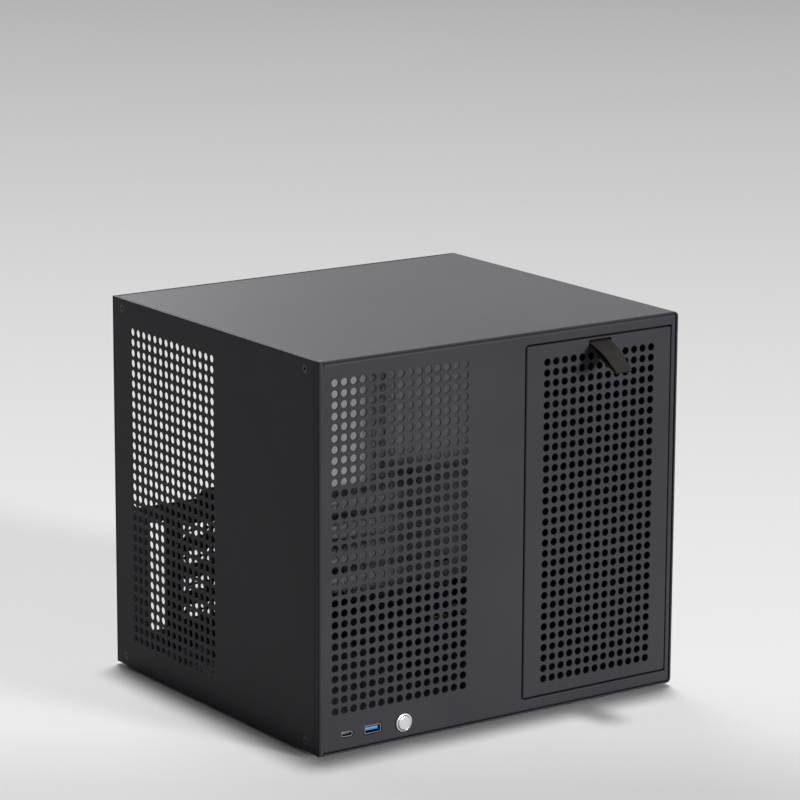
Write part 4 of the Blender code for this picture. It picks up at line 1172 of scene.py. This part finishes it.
class CASE_OT_strap(bpy.types.Operator):
    """Lay the leather pull round its bar and out of the slot"""

    bl_idname = "case.strap"
    bl_label = "Leather Pull"

    def execute(self, context):
        points = strap_loop()
        obj = trace("leather_pull", points)
        width = STRAP[1].x - STRAP[0].x
        draw_out(x=width)
        edit_mode(obj)
        cut("x", *[STRAP[0].x + width * step / STRAP_STRIPS for step in range(1, STRAP_STRIPS)])
        for step in range(TAPER_STEPS):
            edge = FRONT - STRAP_REACH * (step + 0.5) / TAPER_STEPS
            pick("verts", y=(FRONT - 2 * STRAP_REACH, edge))
            bpy.ops.transform.resize(value=(STRAP_TAPER, 1, 1), center_override=(STRAP[0].x, FRONT, 0))
        face_out(obj, Vector((0, 0, 1)))
        change(obj, "SOLIDIFY", thickness=STRAP_PLY, offset=0, use_even_offset=True)
        edit_mode(obj)
        choose("edges", self.at_side)
        round_off(STRAP_ROUNDING, 2)
        finish_mesh(obj, 60)
        hand_over(obj, leather_finish("dark leather", 1.0), "leather", "door", "door_strap")
        obj.data.materials.append(leather_finish("raw leather edge", RAW_EDGE))
        edit_mode(obj)
        choose("faces", lambda face: abs(face.normal.x) > 0.5)
        obj.active_material_index = 1
        bpy.ops.object.material_slot_assign()
        object_mode()
        return {"FINISHED"}

    def at_side(self, edge):
        """Whether an edge is one of the sharp ones along the leather's two sides."""
        sharp = edge.calc_face_angle(0) > FOLDED
        return sharp and any(lies(edge, {"x": side.x}) for side in STRAP)


def strap_loop():
    """Mid-line of the pull's closed loop, at its left edge."""
    middle = centre(BAR)
    bar_radius = (BAR[1].z - BAR[0].z) / 2
    loop = []

    def spine(t):
        fall = STRAP_DROOP * t * (STRAP_SLOPE_SHARE + (1 - STRAP_SLOPE_SHARE) * t)
        return Vector((-STRAP_REACH * t, -fall))

    def across_spine(t):
        fall = STRAP_DROOP * (STRAP_SLOPE_SHARE + 2 * (1 - STRAP_SLOPE_SHARE) * t)
        return Vector((fall, -STRAP_REACH)).normalized()

    def half_gap(t):
        return STRAP_HALF + STRAP_BULGE * math.sin(math.pi * t) ** 2

    for k in range(STRAP_STEPS + 1):
        t = k / STRAP_STEPS
        loop.append(spine(t) - across_spine(t) * half_gap(t))
    tip = Vector((-across_spine(1).y, across_spine(1).x))
    for k in range(1, TURN_STEPS):
        turn = math.pi * k / TURN_STEPS
        way = -across_spine(1) * math.cos(turn) - tip * math.sin(turn)
        loop.append(spine(1) + way * STRAP_HALF)
    for k in range(STRAP_STEPS, -1, -1):
        t = k / STRAP_STEPS
        loop.append(spine(t) + across_spine(t) * half_gap(t))
    round_bar = bar_radius + BAR_PLAY + STRAP_PLY / 2
    for k in range(TURN_STEPS + 1):
        turn = math.pi * (k / TURN_STEPS - 0.5)
        loop.append(Vector((middle.y - FRONT, 0)) + Vector((math.cos(turn), math.sin(turn))) * round_bar)
    return [Vector((STRAP[0].x, FRONT + point.x, middle.z + point.y)) for point in loop]


class CASE_OT_screws(bpy.types.Operator):
    """Turn the countersunk side screws and the round-headed rear screws"""

    bl_idname = "case.screws"
    bl_label = "Screws"

    def execute(self, context):
        side = numbered("left_panel_screw", 4)
        low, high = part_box(side[0])
        face = centre((low, high), x=low.x)
        screw = self.turn("side_screw_1", face, "x", 1, high.x - low.x, True)
        repeat(screw, "side_screw", side, screw_metal(), "black_steel")
        rear = numbered("rear_panel_screw", 6) + numbered("slot_cover_screw", 4)
        low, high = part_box(rear[0])
        face = centre((low, high), y=high.y)
        screw = self.turn("rear_screw_1", face, "y", -1, high.y - low.y, False)
        repeat(screw, "rear_screw", rear, screw_metal(), "black_steel")
        return {"FINISHED"}

    def turn(self, name, face, axis, way, length, countersunk):
        """One screw from its hexagon recess over its head down to the tip."""
        recess = [(RECESS, way * RECESS), (RECESS, 0)]
        socket = add_rings(name + "_socket", face, axis, recess, 6)
        if countersunk:
            rim = (SCREW_HEAD + COUNTERSINK_RIM, way * COUNTERSINK_RIM / 2)
            head = [(SCREW_HEAD, 0), rim, (SHANK, way * SHEET)]
        else:
            head = [
                (0.0018, 0),
                (0.0025, way * 0.0003),
                (SCREW_HEAD, way * 0.0009),
                (SCREW_HEAD, way * 0.0017),
                (SHANK, way * 0.0017),
            ]
        profile = head + [(SHANK, way * length)]
        obj = add_rings(name, face, axis, profile, SCREW_SIDES)
        join(obj, socket)
        edit_mode(obj)
        index = "xyz".index(axis)
        pick("edges", border=True, **{axis: face[index]})
        bpy.ops.mesh.fill(use_beauty=True)
        for depth in (recess[0][1], profile[-1][1]):
            pick("edges", border=True, **{axis: face[index] + depth})
            bpy.ops.mesh.edge_face_add()
        finish_mesh(obj)
        return obj


class CASE_OT_feet(bpy.types.Operator):
    """Mould the four low round feet"""

    bl_idname = "case.feet"
    bl_label = "Feet"

    def execute(self, context):
        rubber = moulded_plastic("black rubber", (0.018, 0.018, 0.018), 0.75)
        feet = numbered("foot", 4)
        low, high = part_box(feet[0])
        middle = centre((low, high), z=0)
        radius = (high.x - low.x) / 2
        profile = [
            (radius - 0.0012, low.z + 0.0002),
            (radius - 0.0009, low.z),
            (radius - 0.0003, low.z),
            (radius, low.z + 0.0004),
            (radius, high.z),
        ]
        obj = add_rings("round_foot_1", middle, "z", profile, FOOT_SIDES)
        cap_ends(obj)
        finish_mesh(obj)
        repeat(obj, "round_foot", feet, rubber, "rubber")
        return {"FINISHED"}


class CASE_OT_sockets(bpy.types.Operator):
    """Shape the two sockets and their tongues"""

    bl_idname = "case.sockets"
    bl_label = "Sockets"

    def execute(self, context):
        wide_height = USB_A[1].z - USB_A[0].z
        narrow_radius = NARROW_SOCKET_HEIGHT / 2
        self.shell("wide_socket", USB_A, WIDE_SOCKET_RADIUS, "usb_a_shell", wide_height)
        self.shell("narrow_socket", USB_C, narrow_radius, "usb_c_shell", NARROW_SOCKET_HEIGHT)
        blue = moulded_plastic("blue plastic", finishes().blue, 0.42)
        black = moulded_plastic("black plastic", (0.015, 0.015, 0.016), 0.4)
        wide = (WIDE_TONGUE, WIDE_TONGUE_INSET)
        self.tongue("wide_tongue", "usb_a_tongue", *wide, blue, "blue_plastic")
        self.tongue("narrow_tongue", "usb_c_tongue", NARROW_TONGUE, 0.0, black, "black_plastic")
        return {"FINISHED"}

    def shell(self, name, box, radius, node, height):
        """A drawn metal tube with a closed back."""
        low, high = box
        wall = SOCKET_WALL
        middle = centre(box, y=low.y, z=high.z - height / 2)
        half_x = (high.x - low.x) / 2
        half_z = height / 2
        outer = trace(name, rounded(middle, half_x, half_z, radius, 4))
        draw_out(y=high.y - low.y)
        inner = trace(name + "_inner", rounded(middle, half_x - wall, half_z - wall, radius - wall, 4))
        draw_out(y=high.y - low.y - wall)
        obj = join(outer, inner)
        edit_mode(obj)
        pick("edges", border=True, y=low.y)
        bpy.ops.mesh.fill(use_beauty=True)
        for y in (high.y, high.y - wall):
            pick("edges", border=True, y=y)
            bpy.ops.mesh.edge_face_add()
        finish_mesh(obj)
        hand_over(obj, plain_metal(), "plain_steel", "case", node)

    def tongue(self, name, node, thickness, inset, finish, slot):
        """The tongue on its block, with softened edges."""
        low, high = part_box(node)
        block = high.y - TONGUE_BLOCK
        middle = (low.z + high.z) / 2
        obj = add_block(name, (low.x, block, low.z), high)
        edit_mode(obj)
        across = (low.x + inset, high.x - inset)
        up = (middle - thickness / 2, middle + thickness / 2)
        cut("x", across[0] + TONGUE_STEP, across[1] - TONGUE_STEP)
        cut("z", *up)
        pick("faces", y=block, x=across, z=up)
        draw_out(y=low.y - block)
        pick("edges", y=low.y)
        round_off(thickness * 0.25, 2)
        finish_mesh(obj)
        hand_over(obj, finish, slot, "case", node)


class CASE_OT_power_button(bpy.types.Operator):
    """Turn the power button and its ring"""

    bl_idname = "case.power_button"
    bl_label = "Power Button"

    def execute(self, context):
        low, high = CAP
        middle = centre(CAP, y=0)
        radius = (high.x - low.x) / 2
        satin = bare_metal("satin button metal", finishes().chrome, 0.17)
        profile = [
            (radius - 0.0006, low.y + 0.00005),
            (radius - 0.0003, low.y + 0.00012),
            (radius - 0.0001, low.y + 0.0003),
            (radius, low.y + 0.0006),
            (radius, high.y),
        ]
        cap = add_rings("button_cap", middle, "y", profile, BUTTON_SIDES)
        cap_ends(cap)
        finish_mesh(cap)
        hand_over(cap, satin, "satin_chrome", "button", "power_button")
        low, high = HOUSING
        ring = (high.x - low.x) / 2
        fit = sizes().fit
        bore = radius + fit
        profile = [
            (bore, CAP[1].y + BUTTON_ROOM),
            (bore, low.y + 0.0002),
            (bore + 0.0002, low.y),
            (ring - 0.0006, low.y),
            (ring - 0.0002, low.y + 0.0002),
            (ring, low.y + 0.0006),
            (ring, FRONT - fit),
            (BUTTON_BORE - fit, FRONT - fit),
            (BUTTON_BORE - fit, high.y),
        ]
        housing = add_rings("button_ring", middle, "y", profile, BUTTON_SIDES)
        cap_ends(housing)
        finish_mesh(housing)
        hand_over(housing, satin, "plain_steel", "case", "power_button_housing")
        return {"FINISHED"}


class CASE_OT_inner_parts(bpy.types.Operator):
    """Give the inner sheets, posts, board and hinge parts their finishes"""

    bl_idname = "case.inner_parts"
    bl_label = "Inner Parts"

    def execute(self, context):
        brass = bare_metal("turned brass", (0.36, 0.27, 0.14), 0.34)
        nodes = frame["nodes"]
        self.paint(nodes["motherboard_tray"], zinc_plate("zinc plate"))
        for name in ("drive_cage_left", "drive_cage_right", "io_bracket"):
            self.paint(nodes[name], inner_coat())
        pairs = [f"{name}_{side}" for name in ("door_hinge_pin", "door_magnet") for side in ("left", "right")]
        for name in ("strap_bar", "power_button_nut", *pairs):
            self.paint(nodes[name], plain_metal())
        for name in numbered("board_standoff", 9):
            self.paint(nodes[name], brass)
        self.paint(nodes["io_board"], board_finish("green board"))
        return {"FINISHED"}

    def paint(self, obj, finish):
        """Puts one finish all over a part."""
        obj.data.materials.clear()
        obj.data.materials.append(finish)


class CASE_OT_stage(bpy.types.Operator):
    """Set the pale floor, the soft lamps and the camera"""

    bl_idname = "case.stage"
    bl_label = "Stage"

    def execute(self, context):
        self.floor()
        for lamp in LAMPS:
            self.lamp(*lamp)
        self.world()
        self.camera()
        context.scene.view_settings.view_transform = "Standard"
        return {"FINISHED"}

    def floor(self):
        """A wide pale floor."""
        object_mode()
        bpy.ops.mesh.primitive_plane_add(size=FLOOR_SIZE, location=(0, 0, 0))
        obj = settle("floor")
        obj.data.materials.append(floor_finish("pale floor"))

    def lamp(self, name, side, spread, strength):
        """Wide soft light that falls from one side on the floor and the case alike."""
        bpy.ops.object.light_add(type="SUN", location=side)
        lamp = bpy.context.object
        lamp.name = name
        lamp.data.name = name
        lamp.data.angle = math.radians(spread)
        lamp.data.energy = strength
        lamp.rotation_euler = (-Vector(side)).to_track_quat("-Z", "Y").to_euler()

    def world(self):
        """Soft light from all round."""
        world = bpy.data.worlds.new("studio")
        bpy.context.scene.world = world
        world.use_nodes = True
        tree = world.node_tree
        light = tree.nodes["Background"]
        light.inputs["Color"].default_value = (0.93, 0.94, 1.0, 1)
        light.inputs["Strength"].default_value = 0.07
        backdrop = tree.nodes.new("ShaderNodeBackground")
        backdrop.inputs["Color"].default_value = (0.96, 0.95, 0.98, 1)
        choice = tree.nodes.new("ShaderNodeMixShader")
        tree.links.new(seen_rays(tree), choice.inputs["Fac"])
        tree.links.new(light.outputs["Background"], choice.inputs[1])
        tree.links.new(backdrop.outputs["Background"], choice.inputs[2])
        tree.links.new(choice.outputs["Shader"], tree.nodes["World Output"].inputs["Surface"])

    def camera(self):
        """The camera at the photograph's place and angle."""
        view = stage()
        bpy.ops.object.camera_add(location=view.camera_place)
        camera = bpy.context.object
        camera.name = "camera"
        camera.data.sensor_width = SENSOR_WIDTH
        camera.data.lens = view.lens
        camera.data.clip_start, camera.data.clip_end = CLIP
        turn = Matrix.Rotation(view.camera_azimuth, 4, "Z")
        tilt = Matrix.Rotation(math.pi / 2 - view.camera_drop, 4, "X")
        roll = Matrix.Rotation(view.camera_roll, 4, "Z")
        camera.rotation_euler = (turn @ tilt @ roll).to_euler()
        bpy.context.scene.camera = camera


@once
def floor_finish(name):
    """Pale floor, shaded along the view, and darker for the light that it throws back on the case."""
    plain = stage().floor_colour
    material, tree, shader = new_finish(name, plain, 0.9, specular=0.2)
    reach = tree.nodes.new("ShaderNodeVectorMath")
    reach.operation = "DOT_PRODUCT"
    reach.inputs[1].default_value = FLOOR_WAY
    tree.links.new(own_place(tree), reach.inputs[0])
    (start, nearest), *between, (end, farthest) = FLOOR_SHADES
    share = map_share(tree, reach.outputs["Value"], start, end)
    ends = [[c * shade for c in plain] for shade in (nearest, farthest)]
    fade = add_ramp(tree, share, *ends, 0.0, 1.0)
    for distance, shade in between:
        stop = fade.color_ramp.elements.new((distance - start) / (end - start))
        stop.color = (*[c * shade for c in plain], 1)
    glow = tree.nodes.new("ShaderNodeMix")
    glow.data_type = "RGBA"
    glow.inputs["A"].default_value = (*[c * FLOOR_BOUNCE for c in plain], 1)
    tree.links.new(seen_rays(tree), glow.inputs["Factor"])
    tree.links.new(fade.outputs["Color"], glow.inputs["B"])
    tree.links.new(glow.outputs["Result"], shader.inputs["Base Color"])
    return material


def seen_rays(tree):
    """1 for what the camera sees straight, in a reflection or through glass, and 0 for the rest."""
    ray = tree.nodes.new("ShaderNodeLightPath")
    seen = ray.outputs["Is Camera Ray"]
    for kind in ("Is Glossy Ray", "Is Transmission Ray"):
        either = tree.nodes.new("ShaderNodeMath")
        either.operation = "MAXIMUM"
        tree.links.new(seen, either.inputs[0])
        tree.links.new(ray.outputs[kind], either.inputs[1])
        seen = either.outputs["Value"]
    return seen


class CASE_PT_panel(bpy.types.Panel):
    """Sidebar panel with the case's steps and settings"""

    bl_label = "Punched Storage Case"
    bl_idname = "CASE_PT_panel"
    bl_space_type = "VIEW_3D"
    bl_region_type = "UI"
    bl_category = "Case"

    def draw(self, context):
        layout = self.layout
        for operator in OPERATORS:
            layout.operator(operator.bl_idname)
        for group in (sizes(), finishes(), stage()):
            box = layout.box()
            for name in group.__annotations__:
                box.prop(group, name)


OPERATORS = (
    CASE_OT_front_panel,
    CASE_OT_door,
    CASE_OT_side_panel,
    CASE_OT_shell,
    CASE_OT_rear_panel,
    CASE_OT_slot_covers,
    CASE_OT_strap,
    CASE_OT_screws,
    CASE_OT_feet,
    CASE_OT_sockets,
    CASE_OT_power_button,
    CASE_OT_inner_parts,
    CASE_OT_stage,
)
GROUPS = (CaseSizes, CaseFinishes, CaseStage)


def register():
    """Registers the settings, steps and panel."""
    for made in GROUPS + OPERATORS + (CASE_PT_panel,):
        bpy.utils.register_class(made)
    bpy.types.Scene.case_sizes = PointerProperty(type=CaseSizes)
    bpy.types.Scene.case_finishes = PointerProperty(type=CaseFinishes)
    bpy.types.Scene.case_stage = PointerProperty(type=CaseStage)


def unregister():
    """Removes them again."""
    del bpy.types.Scene.case_stage
    del bpy.types.Scene.case_finishes
    del bpy.types.Scene.case_sizes
    for made in reversed(GROUPS + OPERATORS + (CASE_PT_panel,)):
        bpy.utils.unregister_class(made)


def main():
    """Runs every step in order."""
    register()
    bpy.ops.case.front_panel()
    bpy.ops.case.door()
    bpy.ops.case.side_panel()
    bpy.ops.case.shell()
    bpy.ops.case.rear_panel()
    bpy.ops.case.slot_covers()
    bpy.ops.case.strap()
    bpy.ops.case.screws()
    bpy.ops.case.feet()
    bpy.ops.case.sockets()
    bpy.ops.case.power_button()
    bpy.ops.case.inner_parts()
    bpy.ops.case.stage()
    object_mode()


if __name__ == "__main__":
    main()
